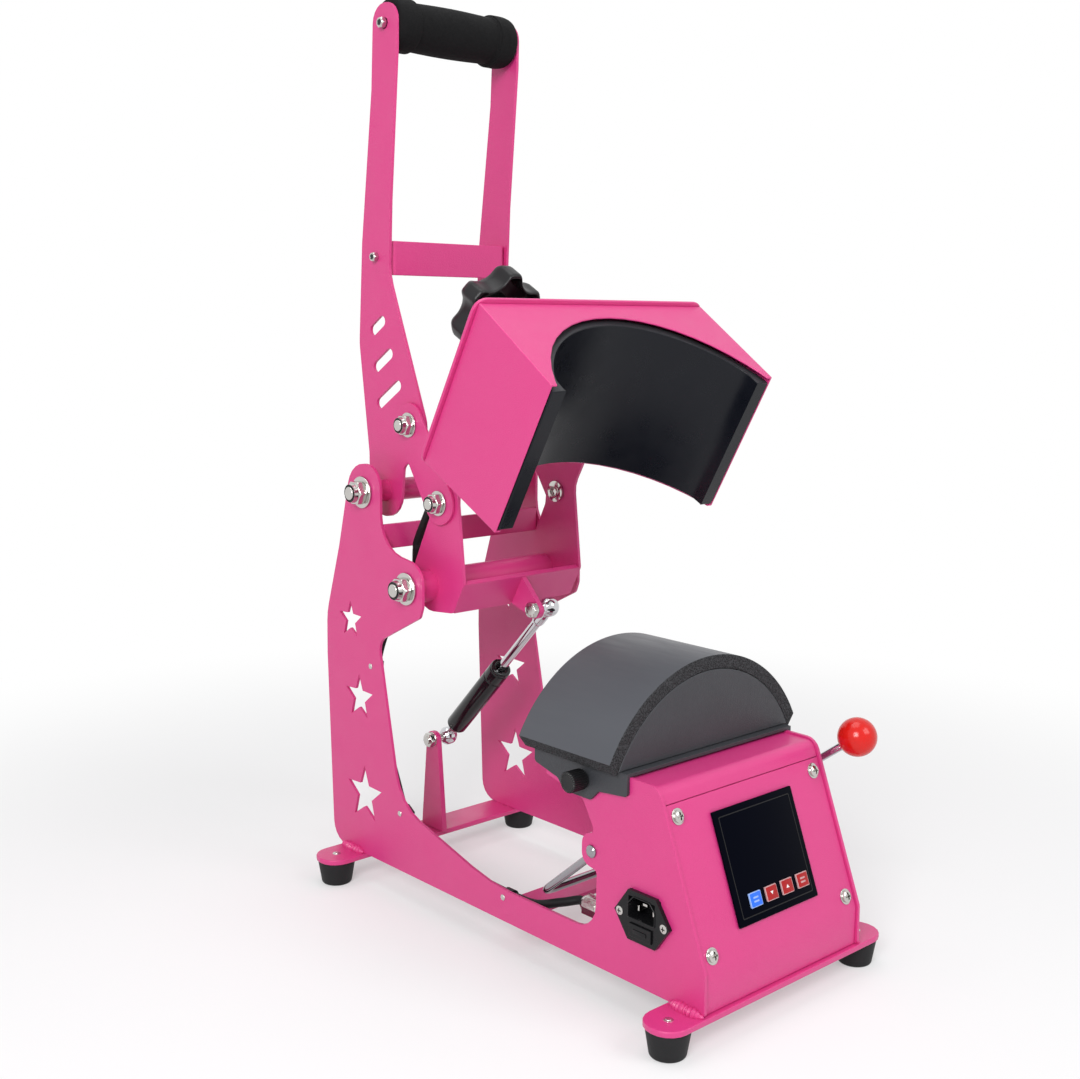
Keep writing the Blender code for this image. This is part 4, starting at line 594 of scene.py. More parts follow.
def feet():
    """Rubber feet: a cone with a rounded rim and a recess below for its sunk screw, and the screw's tip
    above.
    """
    foot_x, bore_r, rim_r, top_r, tall = 0.1014, 0.0042, 0.0122, 0.0152, 0.0195
    cone = lathe([
        (0, 0.0052), (0.003, 0.0052, 0.0006), (bore_r, 0.0004, 0.0004), (bore_r + 0.0004, 0.0, 0.0004),
        (rim_r, 0.0, 0.0022), (top_r, 0.018, 0.001), (top_r - 0.0002, tall, 0.0006), (0, tall),
    ], 56)
    tip = lathe([
        (0, 0.0238), (0.0034, 0.0238, 0.0), (0.0034, 0.0243, 0.0002), (0.0021, 0.0243, 0.0),
        (0.0019, 0.0247, 0.0004), (0.0006, 0.0248, 0), (0, 0.0246),
    ], 32)
    for end, y in (("front", 0.0), ("rear", REAR_BAR_Y)):
        for side, x in (("left", -foot_x), ("right", foot_x)):
            place = tilted(x, y, 0)
            node = f"foot_{end}_{side}"
            piece(f"rubber_{node}", "frame", [(moved(cone, place), RUBBER)], [node])
            piece(f"screw_tip_{end}_{side}", "frame", [(moved(tip, place), ZINC)])


def bolt_end(side, seat, reach, bolt_r, flats, washer_r, washer_t):
    """A washer and lock nut outside a plate, from its face at |x| = seat out to reach."""
    out = facing((side, 0, 0), (side * seat, 0, 0))
    lock = lock_nut(bolt_r, flats, reach - seat - washer_t)
    nuts = [(moved(part, shifted(z=washer_t), out), look) for part, look in lock]
    return [(moved(washer(bolt_r, washer_r, washer_t), out), ZINC), *nuts]


def shank(x0, x1, radius):
    return moved(turned([(0, x0), (radius, x0), (radius, x1), (0, x1)], 32), facing((1, 0, 0)))


def side_shank(side, inner, outer, radius):
    """A length of bolt on one side of the press, from |x| = inner to |x| = outer."""
    return shank(*sorted((side * inner, side * outer)), radius)


def placed(parts, place, y=0.0, z=0.0):
    return [(moved(part, shifted(0, y, z), place), look) for part, look in parts]


def screw_cap(side, seat, radius, height):
    """A small six-sided cap whose socket is a thin dark hexagon in its end, painted shade for a deep recess.
    """
    out = facing((side, 0, 0), (side * seat, 0, 0))
    flats = radius * 2 * math.cos(TURN / 12)
    socket_shade_r, socket_shade_t = radius * 0.57, 0.0003
    cap = nut(flats, height - 0.0004, 0.22)
    lip = washer(radius * 0.56, radius * 0.8, 0.0005)
    # The socket: a thin dark hexagon just under the lip, painted shade standing for the recess.
    socket_shade = lathe([(0, 0), (socket_shade_r, 0, 0), (socket_shade_r, socket_shade_t, 0.0001), (0, socket_shade_t)], 6)
    rise = shifted(z=height - 0.0006)
    return [(moved(cap, out), ZINC), (moved(lip, rise, out), ZINC), (moved(socket_shade, rise, out), SOCKET_SHADE_AND_NYLON)]


def pivot_bolts():
    """Each pivot bolt runs right across the press, with a washer and nut outside each plate."""
    bolt_r, flats, washer_r, washer_t, nut_reach = 0.0058, 0.0175, 0.0128, 0.0019, 0.0138
    seat = SIDE_PLATE_OUT
    for name, place in (("upper_pivot_bolt", LEVER), ("lower_pivot_bolt", ARM)):
        parts = [(shank(-seat, seat, bolt_r), ZINC)]
        for side in (-1, 1):
            parts += bolt_end(side, seat, seat + nut_reach, bolt_r, flats, washer_r, washer_t)
        piece(f"{name}_with_nuts", "frame", placed(parts, place), [name])


def link_bolts():
    """The toggle links' bolts: a hexagon head inside the lever's plate, a button inside the arm's."""
    bolt_r, flats, washer_r, washer_t, nut_end = 0.0049, 0.0146, 0.0098, 0.0011, 0.0762
    for side, tag in ((-1, "left"), (1, "right")):
        inward = facing((-side, 0, 0), (side * LINK_BOLT_IN, 0, 0))
        nuts = bolt_end(side, LINK_PLATE_OUT, nut_end, bolt_r, flats, washer_r, washer_t)
        rod = side_shank(side, LINK_BOLT_IN, LINK_PLATE_OUT, bolt_r)
        parts = [*all_in(ZINC, moved(nut(0.0152, 0.0043), inward), rod), *nuts]
        piece(f"lever_link_bolt_{tag}_with_nut", "lever", placed(parts, LEVER, *LEVER_EYE),
              [f"lever_link_bolt_{tag}"])
        stub = side_shank(side, LEVER_PLATE_OUT, LINK_PLATE_OUT, bolt_r)
        piece(f"arm_link_nut_{tag}_with_washer", "toggle_links",
              placed([(stub, ZINC), *nuts], LINK, LINK_LENGTH, 0.0), [f"arm_link_nut_{tag}"])
        button = moved(driven_head(0.0086, 0.0043, "hex", 0.42), inward)
        rod = side_shank(side, LINK_BOLT_IN, ARM_PLATE_OUT, bolt_r)
        piece(f"arm_link_bolt_{tag}_button", "swing_arm", placed(all_in(ZINC, button, rod), ARM, *ARM_EYE),
              [f"arm_link_bolt_{tag}"])


def lever_screws():
    """The long bolt through the grip with a cap at each end, and the caps of the brace's screws."""
    ends = [*screw_cap(-1, LEVER_PLATE_OUT, 0.0044, 0.0048), *screw_cap(1, LEVER_PLATE_OUT, 0.0044, 0.0048)]
    parts = [(shank(-LEVER_PLATE_OUT, LEVER_PLATE_OUT, 0.0034), ZINC), *ends]
    piece("grip_bolt_capped", "lever", placed(parts, LEVER, *GRIP_PLACE), ["grip_bolt"])
    for side, tag in ((-1, "left"), (1, "right")):
        cap = screw_cap(side, ARM_PLATE_OUT, 0.004, 0.0046)
        piece(f"brace_screw_{tag}", "lever", placed(cap, tilted(0, 0.3653, 0.514)))


def lever_grip():
    """A foam sleeve, slightly barrelled, between two moulded collars whose outer shoulders are
    round. The sleeve's radius is 18.2 mm and 0.9 mm of the cosine of half a turn along it."""
    half, lip, sleeve_end, sleeve_r, swell = 0.0591, 0.0408, 0.0386, 0.0182, 0.0009
    x = np.linspace(-sleeve_end, sleeve_end, 33)
    belly = [(sleeve_r + swell * math.cos(v / sleeve_end * math.pi / 2), v) for v in x]
    collar = [
        (0, -half), (0.019, -half, 0.0052), (0.0205, -half + 0.0075, 0.003), (0.0204, -lip, 0.0016),
        (0.0192, -lip + 0.0003, 0.0004), (0.0187, -sleeve_end - 0.0004, 0.0004), belly[0],
    ]
    start = rounded(collar)[:-1]
    profile = np.concatenate([start, np.array(belly), start[::-1] * (1, -1)])
    sleeve = moved(turned(profile, 72), facing((1, 0, 0)))
    made = piece("foam_grip", "lever", placed([(sleeve, FOAM)], LEVER, *GRIP_PLACE), ["lever_grip"])


def platen():
    """The base and drum, and the silicone sheet bent over the drum with its cut edges bare."""
    softened("platen_base", HAMMERED, 0.0005)
    softened("platen_drum", HAMMERED, 0.0007)
    inner_r, outer_r, axis_z = 0.1, 0.1098, 0.126
    length, front, soft = 0.091, 0.0605, 0.0009
    a0, a1 = math.acos(0.0906 / inner_r), math.acos(0.0972 / outer_r)
    # Across the sheet: s runs from one cut edge to the other, up from the inner to the outer face
    s = np.linspace(0, 1, 121)[:, None]
    thick = outer_r - inner_r
    ring = outline([(0, 0, soft * 0.4), (length, 0, soft * 0.4), (length, thick, soft), (0, thick, soft)], 5)
    depth, up = ring[None, :, 0], ring[None, :, 1] / thick
    low_angle = a0 + (a1 - a0) * up
    angle = low_angle + s * (math.pi - 2 * low_angle)
    radius = inner_r + up * thick
    points = [radius * np.cos(angle), front + depth + 0 * s, axis_z + radius * np.sin(angle)]
    pad, faces = grid(np.stack(points, -1), wrap=True, capped=True)
    sides = [f for f in faces if len(f) == 4]
    y = np.array([pad[f].mean(0) for f in sides])[:, 1]
    at_end = (y < front + soft * 0.6) | (y > front + length - soft * 0.6)
    skin = [f for f, end in zip(sides, at_end) if not end]
    cut = [f for f, end in zip(sides, at_end) if end] + [f for f in faces if len(f) > 4]
    made = two_finish_piece("silicone_pad", "frame", moved((pad, skin + cut), PRESS), len(skin),
                            (SILICONE, OPEN_CELL), ["platen_pad"])


def thumb_screws():
    """Knurled heads: the radius dips by a sharp wave of 30 ribs round the rim."""
    ribs = lambda a, z: -0.00045 * np.abs(np.sin(a * 15)) ** 0.7
    head = lathe([
        (0, 0.0016), (0.0068, 0.0016, 0.0004), (0.0074, 0.0024, 0.0006), (0.0075, 0.0148, 0.0009),
        (0.0062, 0.0156, 0.0004), (0.0056, 0.015, 0.0004), (0, 0.015),
    ], 180, ripple=ribs)
    collar = lathe([(0, 0), (0.005, 0, 0.0003), (0.005, 0.0018, 0), (0, 0.0018)], 40)
    for side, tag in ((-1, "left"), (1, "right")):
        out = facing((side, 0, 0), (side * 0.0871, 0, 0))
        parts = all_in(PLASTIC, moved(head, out), moved(collar, out))
        parts.append((side_shank(side, SIDE_PLATE_OUT, 0.088, 0.0029), ZINC))
        piece(f"knurled_thumb_screw_{tag}", f"thumb_screw_{tag}", placed(parts, tilted(0, 0.096, 0.1575)),
              [f"thumb_screw_{tag}"])


def bent(corners, radius):
    """A wire's path whose corners turn through an arc that starts at the radius from each."""
    points = [np.array(corners[0])]
    t = np.linspace(0, 1, 9)[:, None]
    for before, corner, after in zip(corners, corners[1:], corners[2:]):
        corner = np.array(corner, float)
        a, b = np.array(before) - corner, np.array(after) - corner
        points += list(corner + a / np.linalg.norm(a) * radius * (1 - t) ** 2
                       + b / np.linalg.norm(b) * radius * t ** 2)
    return np.array(points + [np.array(corners[-1])])


def cap_bail():
    """The wire bow under the platen, its shaft through the plates, and the lever rod with its ball."""
    half, wire, lever_x, ball_r = 0.074, 0.003, 0.093, 0.0142
    bow_y, bow_z = 0.0613, -0.0522
    bow = bent([(-half, 0, 0), (-half, bow_y, bow_z), (half, bow_y, bow_z), (half, 0, 0)], 0.012)
    end = np.array((lever_x, -0.0893, 0.0667))
    way = (end - (lever_x, 0, 0)) / np.linalg.norm(end - (lever_x, 0, 0))
    lever = bent([(0.08, 0, 0), (lever_x, 0, 0), tuple(end - way * 0.0025)], 0.006)
    cap = lathe([
        (0, 0), (0.0046, 0, 0.0002), (0.0046, 0.0012, 0.0008), (0.0026, 0.0028, 0.001), (0, 0.0029),
    ], 32)
    # The bow, its shaft and the shaft's end cap take the chrome with painted shade; the lever rod is plain
    # chrome.
    parts = [
        (swept(bow, ring_outline(wire, 20), (0, 0.65, 0.76)), SHADED_WIRE_CHROME),
        (shank(-0.0866, 0.0805, wire), SHADED_WIRE_CHROME),
        (swept(lever, ring_outline(wire, 20), (0, 0.6, 0.8)), CHROME),
        (moved(cap, facing((-1, 0, 0), (-0.0841, 0, 0))), SHADED_WIRE_CHROME),
    ]
    piece("bail_wire", "cap_bail", placed(parts, BAIL), ["cap_bail"])
    a = np.linspace(-math.pi / 2 + 0.27, math.pi / 2, 28)
    round_part = [(ball_r * math.cos(v), ball_r * math.sin(v)) for v in a[:-1]]
    profile = [(0, -0.0122), (0.0032, -0.0136), *round_part, (0, ball_r)]
    seam = lambda angle, z: 0.00006 * np.exp(-(z / 0.0004) ** 2)
    ball = moved(turned(profile, 64, seam), facing(way, end))
    piece("red_ball_knob", "cap_bail", placed([(ball, RED)], BAIL), ["bail_ball"])


def heating_shoe():
    """The shoe: an arc of 111.3 mm radius that runs into two upright legs, the corner between them
    softened, carried back from a front end that leans with the head's front sheet."""
    axis_z, arc_r, crown_r = -0.13221, 0.1113, 0.1193
    leg_x, side_x, rim, back = 0.098, 0.1105, -0.0922, -0.1246
    front, head_lean, head_bottom, head_height = -0.2351, 0.011, -0.0917, 0.0895
    soft = 0.0008
    a = np.linspace(math.pi - math.acos(leg_x / arc_r), math.acos(leg_x / arc_r), 73)
    leg_z = np.linspace(rim, axis_z + arc_r * math.sin(a[0]), 7)[:-1]
    leg = np.stack([-leg_x + 0 * leg_z, leg_z], -1)
    arc = np.stack([arc_r * np.cos(a), axis_z + arc_r * np.sin(a)], -1)
    line = np.concatenate([leg, arc, leg[::-1] * (-1, 1)])
    # The corner: each point moves half way to the middle of its neighbours, a few times over
    for _ in range(4):
        line[1:-1] = line[1:-1] / 2 + (line[:-2] + line[2:]) / 4
    b = np.linspace(math.acos(side_x / crown_r), math.pi - math.acos(side_x / crown_r), 60)
    crown = np.stack([crown_r * np.cos(b), axis_z + crown_r * np.sin(b)], -1)
    right = [(side_x - soft, rim), (side_x, rim + soft)]
    left = [(-side_x, rim + soft), (-side_x + soft, rim)]
    ring = np.concatenate([line, right, crown, left])
    way = np.roll(ring, -1, 0) - np.roll(ring, 1, 0)
    way /= np.linalg.norm(way, axis=1)[:, None]
    inward = np.stack([-way[:, 1], way[:, 0]], -1)
    # The edges of both ends: quarter rounds, the front one first
    t = np.linspace(0, math.pi / 2, 5)
    rows = []
    for at_front in (True, False):
        for turn in t if at_front else t[::-1]:
            x, z = (ring + inward * soft * (1 - np.sin(turn))).T
            y = front - head_lean * (z - head_bottom) / head_height if at_front else back + 0 * z
            step = soft * (1 - np.cos(turn))
            rows.append(np.stack([x, y + step if at_front else y - step, z], -1))
    points, faces = grid(rows, wrap=True, capped=True)
    two_finish_piece("shoe_casting", "heating_head", moved((points, faces), ARM), len(faces) - 2,
                     (COATING, CAST_END), ["heating_shoe"])


def scallop(a, rim, away, hollow):
    """How far six round hollows cut into a rim: across each, the line at angle f from its middle
    meets the hollow's circle at away cos f less the root of hollow squared less away sin f squared."""
    f = from_flat(a)
    under = np.maximum(hollow ** 2 - (away * np.sin(f)) ** 2, 0)
    cut = np.where(np.abs(np.sin(f)) < hollow / away, rim - away * np.cos(f) + np.sqrt(under), 0)
    cut = np.clip(cut, 0, None)
    kernel = np.array([1, 2, 3, 2, 1]) / 9
    return np.convolve(np.concatenate([cut[-2:], cut, cut[:2]]), kernel, "valid")


def pressure_knob():
    """A six-lobed hand knob: the rim radius is 38 mm less the scallops. The section goes over the
    shoulder, down the rim and into the hollow under it."""
    rim_r, hub_r, top, low, hub_low, depth = 0.038, 0.012, 0.1105, 0.0883, 0.0764, 0.009
    a = angles(216)
    lobe = scallop(a, rim_r, 0.046, 0.017) / depth
    section = rounded([
        (0, 0.1085), (0.015, 0.1085, 0.002), (0.02, top, 0.004), (0.034, top, 0.005),
        (rim_r, 0.1045, 0.006), (0.0378, low + 0.002, 0.0015), (0.0366, low, 0.001),
        (0.0345, low, 0.001), (0.0338, 0.103, 0.003), (0.015, 0.104, 0.002),
        (0.0128, 0.1, 0.0015), (hub_r, hub_low, 0.001), (0, hub_low),
    ], 5)
    r, z = section[:, 0][:, None], section[:, 1][:, None]
    share = np.clip((r - hub_r) / (rim_r - hub_r), 0, 1) ** 1.2
    radius = r - depth * lobe[None, :] * share
    up = shifted(0, SCREW_Y, -0.0022)
    knob = moved(revolved(radius, a, z), up, ARM)
    piece("star_knob", "pressure_knob", [(knob, PLASTIC)], ["pressure_knob"])
    seat_z, seat_r = 0.0031, 0.011
    rod = moved(thread(0.0059, 0.099), shifted(z=seat_z), up, ARM)
    seat = lathe([
        (0, seat_z), (seat_r, seat_z, 0.0005), (seat_r, 0.0066, 0.001), (0.0066, 0.0081, 0), (0, 0.0081),
    ])
    jam = moved(nut(0.017, 0.006), shifted(z=0.042), up, ARM)
    piece("pressure_screw_thread", "pressure_knob", all_in(ZINC, rod, moved(seat, up, ARM), jam),
          ["pressure_screw"])


def on_panel(part, x, z, seat):
    """A part drawn flat in XY, set on the sloping panel at (x, z), its middle at seat above it."""
    stand = lambda points: np.stack([points[:, 0], -points[:, 2], points[:, 1]], -1)
    return moved(part, stand, shifted(x, -seat, z), PANEL)


def display():
    """The display's dark window, with a fine line round it."""
    half_x, tall, top = 0.042, 0.0779, -0.013
    middle = top - tall / 2
    rim = centred_box(half_x, tall / 2, 0.001)
    line = [centred_box(0.0375, 0.0345, 0.0012), centred_box(0.0368, 0.0338, 0.001)]
    window = centred_box(0.0366, 0.0336, 0.001)
    parts = [
        (on_panel(plate([rim], 0.0019, 0.0006), 0, middle, 0.00125), GLASS),
        (on_panel(plate(line, 0.0004, 0.00012), 0, middle, 0.0022), GLOSS_PLASTIC),
        (on_panel(plate([window], 0.0003, 0.0001), 0, middle, 0.00215), GLASS),
    ]
    piece("display_window", "frame", parts, ["display_module"])


def keys():
    """Four keys, each a pale rim round its face: the outer two carry two bars, the others an arrow."""
    key_z, mark_t, mark_edge, mark_seat = -0.0764, 0.00012, 0.00003, 0.0035
    for index, x in enumerate((-0.0219, -0.0051, 0.0117, 0.0285)):
        look, edge = (BLUE_KEY, PALE_BLUE) if index == 0 else (RED_KEY, PALE_RIM)
        cap = centred_box(0.006, 0.005, 0.0008)
        face = centred_box(0.0054, 0.0044, 0.0004)
        parts = [(on_panel(plate([cap], 0.0016, 0.0003), x, key_z, 0.0026), edge),
                 (on_panel(plate([face], 0.0003, 0.0001), x, key_z, 0.0034), look)]
        if index in (1, 2):
            up = 1 if index == 2 else -1
            marks = [np.array([(-0.0016, -0.0011 * up), (0.0016, -0.0011 * up), (0, 0.0013 * up)])]
        else:
            marks = [box_outline((-0.0026, row - 0.0006), (0.0026, row + 0.0006), 0.0003)
                     for row in (-0.0013, 0.0013)]
        mark_look = WHITE_MARK if index in (1, 2) else edge
        drawn = [on_panel(plate([mark], mark_t, mark_edge), x, key_z, mark_seat) for mark in marks]
        piece(f"key_cap_{index + 1}", f"key_{index + 1}", parts + all_in(mark_look, *drawn),
              [f"key_{index + 1}"])


def panel_screws():
    """The panel's four cross-headed screws on their washers."""
    for x, side in ((-0.0721, "left"), (0.0721, "right")):
        for z, end in ((-0.0086, "upper"), (-0.0998, "lower")):
            head = on_panel(driven_head(0.0043, 0.0026, "cross", 0.5, 0.8), x, z, 0.0007)
            ring = on_panel(washer(0.002, 0.0056, 0.0008), x, z, 0.0)
            piece(f"panel_screw_{side}_{end}", "frame", all_in(ZINC, head, ring))


def on_inlet(part, y, z, x):
    """A part drawn flat in XY, set on the left side plate by the inlet's middle, at |x|."""
    stand = lambda points: np.stack([-points[:, 2], points[:, 0], points[:, 1]], -1)
    return moved(part, stand, shifted(-x, y, z), tilted(0, 0.039, 0.0746))


def mains_inlet():
    """The inlet's flange with its socket, pins, fuse drawer and two countersunk screws."""
    softened("mains_inlet", GLOSS_PLASTIC, 0.0005)
    softened("fuse_drawer", GLOSS_PLASTIC, 0.0004)

    def socket_outline(half, low, shoulder, top, top_half, corner):
        return outline([(-half, low, corner), (half, low, corner), (half, shoulder, 0.001),
                        (top_half, top, 0.001), (-top_half, top, 0.001), (-half, shoulder, 0.001)])

    socket_z = 0.006
    socket = socket_outline(0.0117, -0.0073, 0.002, 0.0073, 0.007, 0.001)
    lip = socket_outline(0.0125, -0.0081, 0.0024, 0.0081, 0.0074, 0.0012)
    liner = on_inlet(plate([lip, socket], 0.015, 0.0003), 0, socket_z, 0.0804)
    floor = on_inlet(plate([lip], 0.001, 0.0002), 0, socket_z, 0.073)
    piece("inlet_socket_liner", "frame", all_in(GLOSS_PLASTIC, liner, floor))
    pin = centred_box(0.002, 0.001, 0.0004)
    blade = centred_box(0.001, 0.002, 0.0004)
    pins = [on_inlet(plate([blade], 0.01, 0.0004), y, 0.0045, 0.078) for y in (-0.007, 0.007)]
    pins.append(on_inlet(plate([pin], 0.011, 0.0004), 0, 0.009, 0.0785))
    piece("inlet_pins", "frame", all_in(ZINC, *pins))
    for y, end in ((-0.02, "front"), (0.02, "rear")):
        head = on_inlet(driven_head(0.0031, 0.0012, "cross", 0.44, 0.9), y, 0, 0.087)
        piece(f"inlet_screw_{end}", "frame", [(head, ZINC)])
    rib = centred_box(0.006, 0.0014, 0.0006)
    rib = on_inlet(plate([rib], 0.0008, 0.0003), 0, -0.0095, 0.089)
    piece("fuse_drawer_rib", "fuse_drawer", [(rib, GLOSS_PLASTIC)])


def ball_end(radius, half):
    """A ball end: a short barrel with round shoulders."""
    return lathe([
        (0, -half), (radius * 0.62, -half, 0.0008), (radius, -half * 0.45, 0.003),
        (radius, half * 0.45, 0.003), (radius * 0.62, half, 0.0008), (0, half),
    ], 48, 6)


def strut_cylinder():
    """The sealed cylinder with its rolled end, groove and bore, and its lower ball end."""
    along = facing((0, 1, 0))
    tube_r, groove_r, bore_r, bore_low, end = 0.009, 0.0086, 0.0044, 0.0245, 0.104
    body = lathe([
        (0, 0.0166), (0.0078, 0.0166, 0.0006), (tube_r, 0.018, 0.0012), (tube_r, 0.0885, 0.0004),
        (groove_r, 0.089, 0.0003), (groove_r, 0.0897, 0.0003), (tube_r, 0.0902, 0.0004),
        (tube_r, 0.0998, 0.0006), (groove_r, 0.1004, 0.0004), (groove_r, 0.101, 0.0004),
        (tube_r, 0.1016, 0.0006), (0.0087, end, 0.0018), (0.0056, end, 0.0006),
        (0.005, 0.1028, 0.0004), (bore_r, 0.1028, 0), (bore_r, bore_low), (0, bore_low),
    ], 56)
    neck = moved(thread(0.004, 0.0132, 0.0011, 0.0004), along, shifted(y=0.005))
    jam = moved(nut(0.01, 0.0034), facing((0, 1, 0), (0, 0.0126, 0)))
    low = moved(ball_end(0.0079, 0.0066), facing((1, 0, 0)))
    parts = [(moved(body, along), PAINTED_TUBE), *all_in(CHROME, neck, jam, low)]
    piece("strut_cylinder", "gas_spring_cylinder", placed(parts, STRUT), ["gas_spring_cylinder"])


def strut_rod():
    """The polished rod, its end fitting and the upper ball end with its stud."""
    length = STRUT_LENGTH
    rod_r, fitting_r, tip = 0.0039, 0.0052, STRUT_LENGTH - 0.005
    rod = lathe([
        (0, 0.093), (rod_r, 0.093, 0.0002), (rod_r, length - 0.0206, 0.0),
        (0.0044, length - 0.0202, 0.0003), (fitting_r, length - 0.018, 0.0008),
        (fitting_r, length - 0.011, 0.001), (0.0046, tip, 0.001), (0, tip),
    ], 40)
    across = facing((1, 0, 0), (0, length, 0))
    eye = moved(ball_end(0.0079, 0.0068), across)
    stud = moved(lathe([(0, -0.0106), (0.0034, -0.0106, 0), (0.0034, -0.006, 0), (0, -0.006)], 28), across)
    flats = moved(nut(0.0096, 0.003), facing((-1, 0, 0), (-0.0066, length, 0)))
    parts = all_in(CHROME, moved(rod, facing((0, 1, 0))), eye, stud, flats)
    piece("strut_rod", "gas_spring_rod", placed(parts, STRUT), ["gas_spring_rod"])


def top_ball():
    """The strut's upper ball in the arm's own axes, from its place beside the lower pivot."""
    a = math.radians(OPEN_DEGREES)
    y, z = -0.0584, -0.018
    return y * math.cos(a) - z * math.sin(a), y * math.sin(a) + z * math.cos(a)


def strut_studs():
    """The nuts and studs that hold the strut's two ends."""
    stud_r, ball_r = 0.0034, 0.005
    top_nut = moved(nut(0.0113, 0.005), facing((-1, 0, 0), (-0.0026, 0, 0)))
    collar = lathe([
        (0, 0), (0.0049, 0, 0), (0.0049, 0.0008, 0.0004), (0.004, 0.0014, 0.0004), (0, 0.0014),
    ], 32)
    collar = moved(collar, facing((-1, 0, 0), (-0.0066, 0, 0)))
    parts = all_in(ZINC, top_nut, collar, shank(-0.0076, 0.0022, stud_r))
    piece("strut_top_nut", "swing_arm", placed(parts, ARM, *top_ball()), ["spring_top_nut"])
    a = np.linspace(-math.pi / 2, math.pi / 2, 20)[1:-1]
    profile = [(0, -ball_r), *((ball_r * math.cos(v), ball_r * math.sin(v)) for v in a), (0, ball_r)]
    ball = moved(turned(profile, 32), facing((1, 0, 0), (STRUT_X, 0, 0)))
    foot_nut = moved(nut(0.0113, 0.005), facing((-1, 0, 0), (-0.0048, 0, 0)))
    ring = moved(washer(stud_r, 0.0064, 0.001), facing((-1, 0, 0), (-0.004, 0, 0)))
    parts = all_in(ZINC, ball, foot_nut, ring, shank(-0.011, STRUT_X, stud_r))
    piece("strut_foot_stud", "frame", placed(parts, tilted(0, *STRUT_FOOT)), ["spring_low_stud"])


def heater_lead():
    """The sleeved lead in its two lengths, its clips and the gland it ends in."""
    half, head_rear, head_height = 0.084, -0.1221, 0.0895
    depth, tall, plate_front, bar_top = 0.4255, 0.304, -0.0151, 0.0244
    lead_r, end_run, gap = 0.0033, 0.006, 0.0006
    head_shares = np.array([
        (-0.6012, 1.1458, 0.0101), (-0.6012, 1.1458, 0.1006), (-0.6012, 1.0893, 0.257),
        (-0.6012, 0.9255, 0.3631), (-0.62, 0.6962, 0.405), (-0.655, 0.3939, 0.3955),
        (-0.66, 0.15, 0.399), (-0.658, 0.085, 0.378), (-0.63, -0.085, 0.319),
    ])
    split_share = (-0.7857, 0.8052, 0.7339)
    down = [
        (0.8345, 0.6171), (0.8529, 0.5546), (0.8557, 0.5086), (0.8498, 0.4526), (0.8228, 0.3145),
        (0.7958, 0.2257), (0.7758, 0.1688), (0.7518, 0.1477), (0.6935, 0.1155), (0.6324, 0.0908),
        (0.5525, 0.0661), (0.479, 0.0602), (0.4508, 0.0602),
    ]
    frame_shares = np.array([
        (-0.881, 0.8134, 0.6763), *((-0.9107, y, z) for y, z in down), (-0.8987, 0.3998, 0.0645),
        (-0.8095, 0.3528, 0.0842), (-0.7381, 0.3269, 0.0957), (-0.7381, 0.3135, 0.0957),
    ])
    size, corner = np.array((half, depth, tall)), (0, plate_front, bar_top)
    split = split_share * size + corner
    way = np.array((-0.5, -0.05, -0.865))
    way /= np.linalg.norm(way)
    upper = [ARM(head_shares * (half, head_rear, head_height)), PRESS([split - way * end_run, split])]
    lower = PRESS([split + way * gap, split + way * end_run, *(frame_shares * size + corner)])
    ring = ring_outline(lead_r, 24)
    for name, body, path in (("upper", "heating_head", np.concatenate(upper)), ("lower", "frame", lower)):
        sleeve = swept(smooth_path(path), ring)
        piece(f"lead_{name}_sleeve", body, [(sleeve, SLEEVE)], [f"heater_lead_{name}"])
    for index in (1, 2, 3):
        softened(f"lead_clip_{index}", PLASTIC, 0.0003)
    softened("lead_gland", ZINC, 0.0005)


def clip_screws():
    """The screws of the lead's clips, seen on the left plate's outer face."""
    head_r, head_t = 0.0024, 0.0009
    dome = lathe([
        (0, 0), (head_r, 0, 0.0001), (0.0023, 0.0006, 0.0004), (0.0012, head_t, 0.0003), (0, head_t),
    ], 32)
    for index, (y, z) in enumerate(((0.3099, 0.0725), (0.1827, 0.0427), (0.348, 0.1869))):
        head = moved(dome, facing((-1, 0, 0), (-0.084, 0, 0)), tilted(0, y, z))
        piece(f"clip_screw_{index + 1}", "frame", [(head, ZINC)])


def weld_beads():
    """Weld beads: two overlapping lumps at each end of the foot bars, beside the side plates."""
    beads = []
    for side in (-1, 1):
        for y in (0.0, REAR_BAR_Y):
            long = PRESS([
                (side * 0.0846, y - 0.015, 0.025), (side * 0.0858, y - 0.004, 0.0252),
                (side * 0.0854, y + 0.005, 0.025), (side * 0.0846, y + 0.015, 0.025)])
            short = PRESS([(side * 0.0866, y - 0.009, 0.0258), (side * 0.087, y + 0.001, 0.0262)])
            beads += [bead(long, 0.0074, y * 9 + side), bead(short, 0.0052, y * 5 - side)]
    piece("foot_bar_welds", "frame", all_in(PINK, *beads))


for make in (
    painted_steel, head_cover, feet, pivot_bolts, link_bolts, lever_screws, lever_grip, platen,
    thumb_screws, cap_bail, heating_shoe, pressure_knob, display, keys, panel_screws, mains_inlet,
    strut_cylinder, strut_rod, strut_studs, heater_lead, clip_screws, weld_beads,
):
    make()


# Stage: a pale floor that meets a white surround, and soft lamps
def seen_share(tree):
    """A factor that is 1 for camera, glossy and transmission rays, and 0 for the rest."""
    path = add_node(tree, "LightPath").outputs
    total = path["Is Camera Ray"]
    for name in ("Is Glossy Ray", "Is Transmission Ray"):
        total = add_node(tree, "Math", led={0: total, 1: path[name]}, operation="MAXIMUM").outputs["Value"]
    return total


def mixed_shaders(tree, share, first, second, output):
    """A mix of two shaders' first outputs, led to the tree's output."""
    mix = add_node(tree, "MixShader", led={"Fac": share, 1: first.outputs[0], 2: second.outputs[0]})
    tree.links.new(mix.outputs["Shader"], tree.nodes[output].inputs["Surface"])


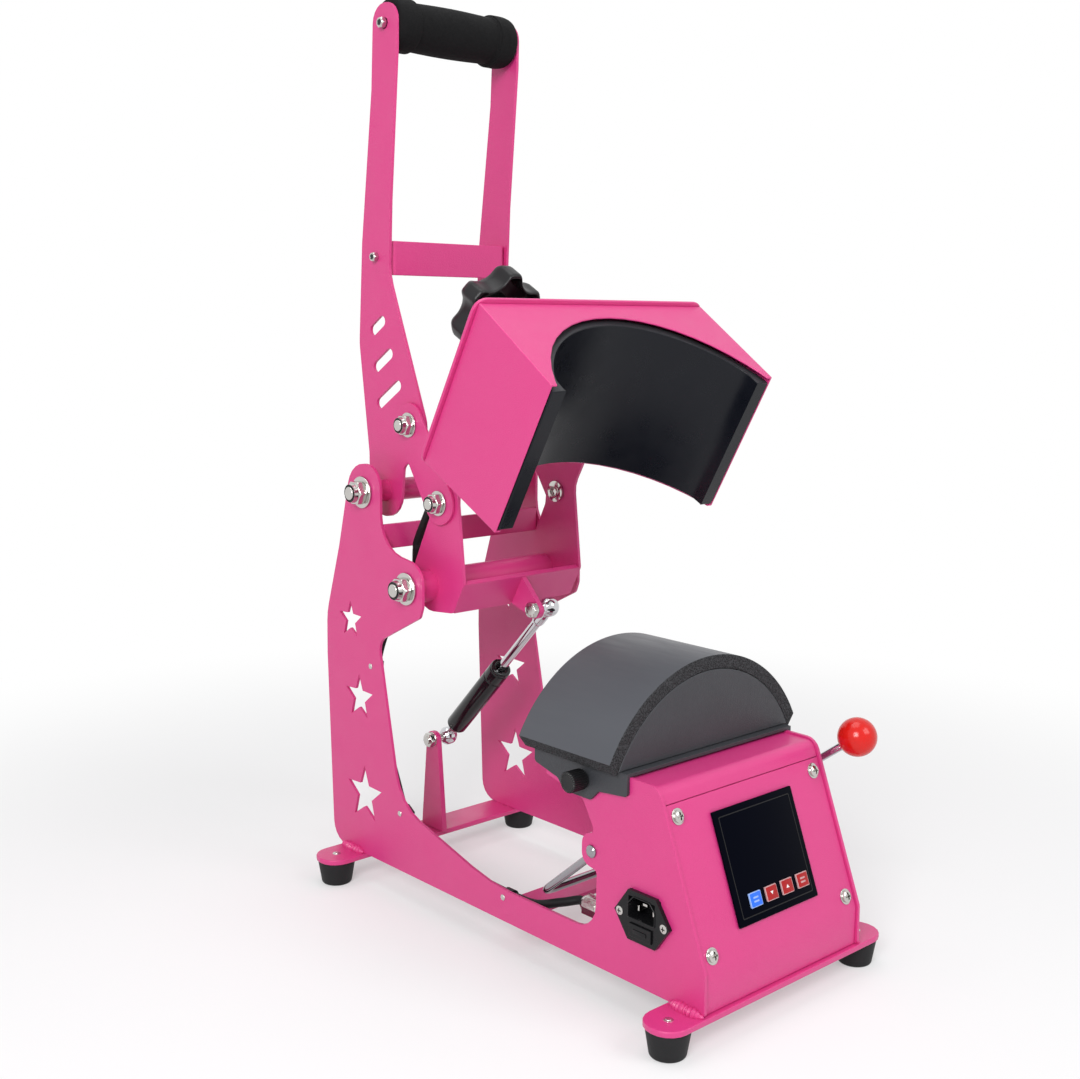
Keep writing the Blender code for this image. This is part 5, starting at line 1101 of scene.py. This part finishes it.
def floor():
    """A pale floor that takes the shadows near the press and turns plain white further off."""
    half, near, far, near_share = 6, 0.38, 1.00, 0.4
    made = in_scene("floor", bpy.data.meshes.new("floor"))
    corners = [(-half, -half, 0), (half, -half, 0), (half, half, 0), (-half, half, 0)]
    made.data.from_pydata(corners, [], [(0, 1, 2, 3)])
    look = bpy.data.materials.new("pale_floor")
    look.use_nodes = True
    tree = look.node_tree
    tree.nodes.remove(tree.nodes["Principled BSDF"])
    plain = add_node(tree, "BsdfDiffuse", {"Color": (0.86, 0.86, 0.87, 1)})
    glow = add_node(tree, "Emission", {"Color": (1, 1, 1, 1)})
    place = add_node(tree, "TexCoord").outputs["Object"]
    away = add_node(tree, "VectorMath", led={0: place}, operation="LENGTH").outputs["Value"]
    limits = {"From Min": near, "From Max": far, "To Min": near_share, "To Max": 1.0}
    fade = add_node(tree, "MapRange", limits, {"Value": away}, interpolation_type="SMOOTHSTEP")
    led = {0: seen_share(tree), 1: fade.outputs["Result"]}
    part = add_node(tree, "Math", led=led, operation="MULTIPLY").outputs["Value"]
    mixed_shaders(tree, part, plain, glow, "Material Output")
    made.data.materials.append(look)


def surround():
    """A white background where it is seen, and a weaker one that lights the press."""
    world = bpy.context.scene.world or bpy.data.worlds.new("studio")
    bpy.context.scene.world = world
    world.use_nodes = True
    tree = world.node_tree
    lit = add_node(tree, "Background", {"Color": (1, 1, 1, 1), "Strength": 0.34})
    seen = add_node(tree, "Background", {"Color": (1, 1, 1, 1), "Strength": 1.0})
    mixed_shaders(tree, seen_share(tree), lit, seen, "World Output")


def lamp(name, place, aim, size, power):
    data = bpy.data.lights.new(name, "AREA")
    data.size = size
    data.energy = power
    made = in_scene(name, data)
    made.location = place
    direction = Vector(aim) - Vector(place)
    made.rotation_euler = direction.to_track_quat("-Z", "Y").to_euler()


floor()
surround()
lamp("key_lamp", (-1.8, -1.1, 1.3), (0, -0.05, 0.15), 0.9, 38)
lamp("front_lamp", (0.5, -1.9, 1.7), (0, 0, 0.15), 1.2, 19)
lamp("top_lamp", (-0.1, 0.2, 2.3), (0, 0, 0.1), 1.4, 15)

bpy.context.scene.view_settings.view_transform = "Standard"
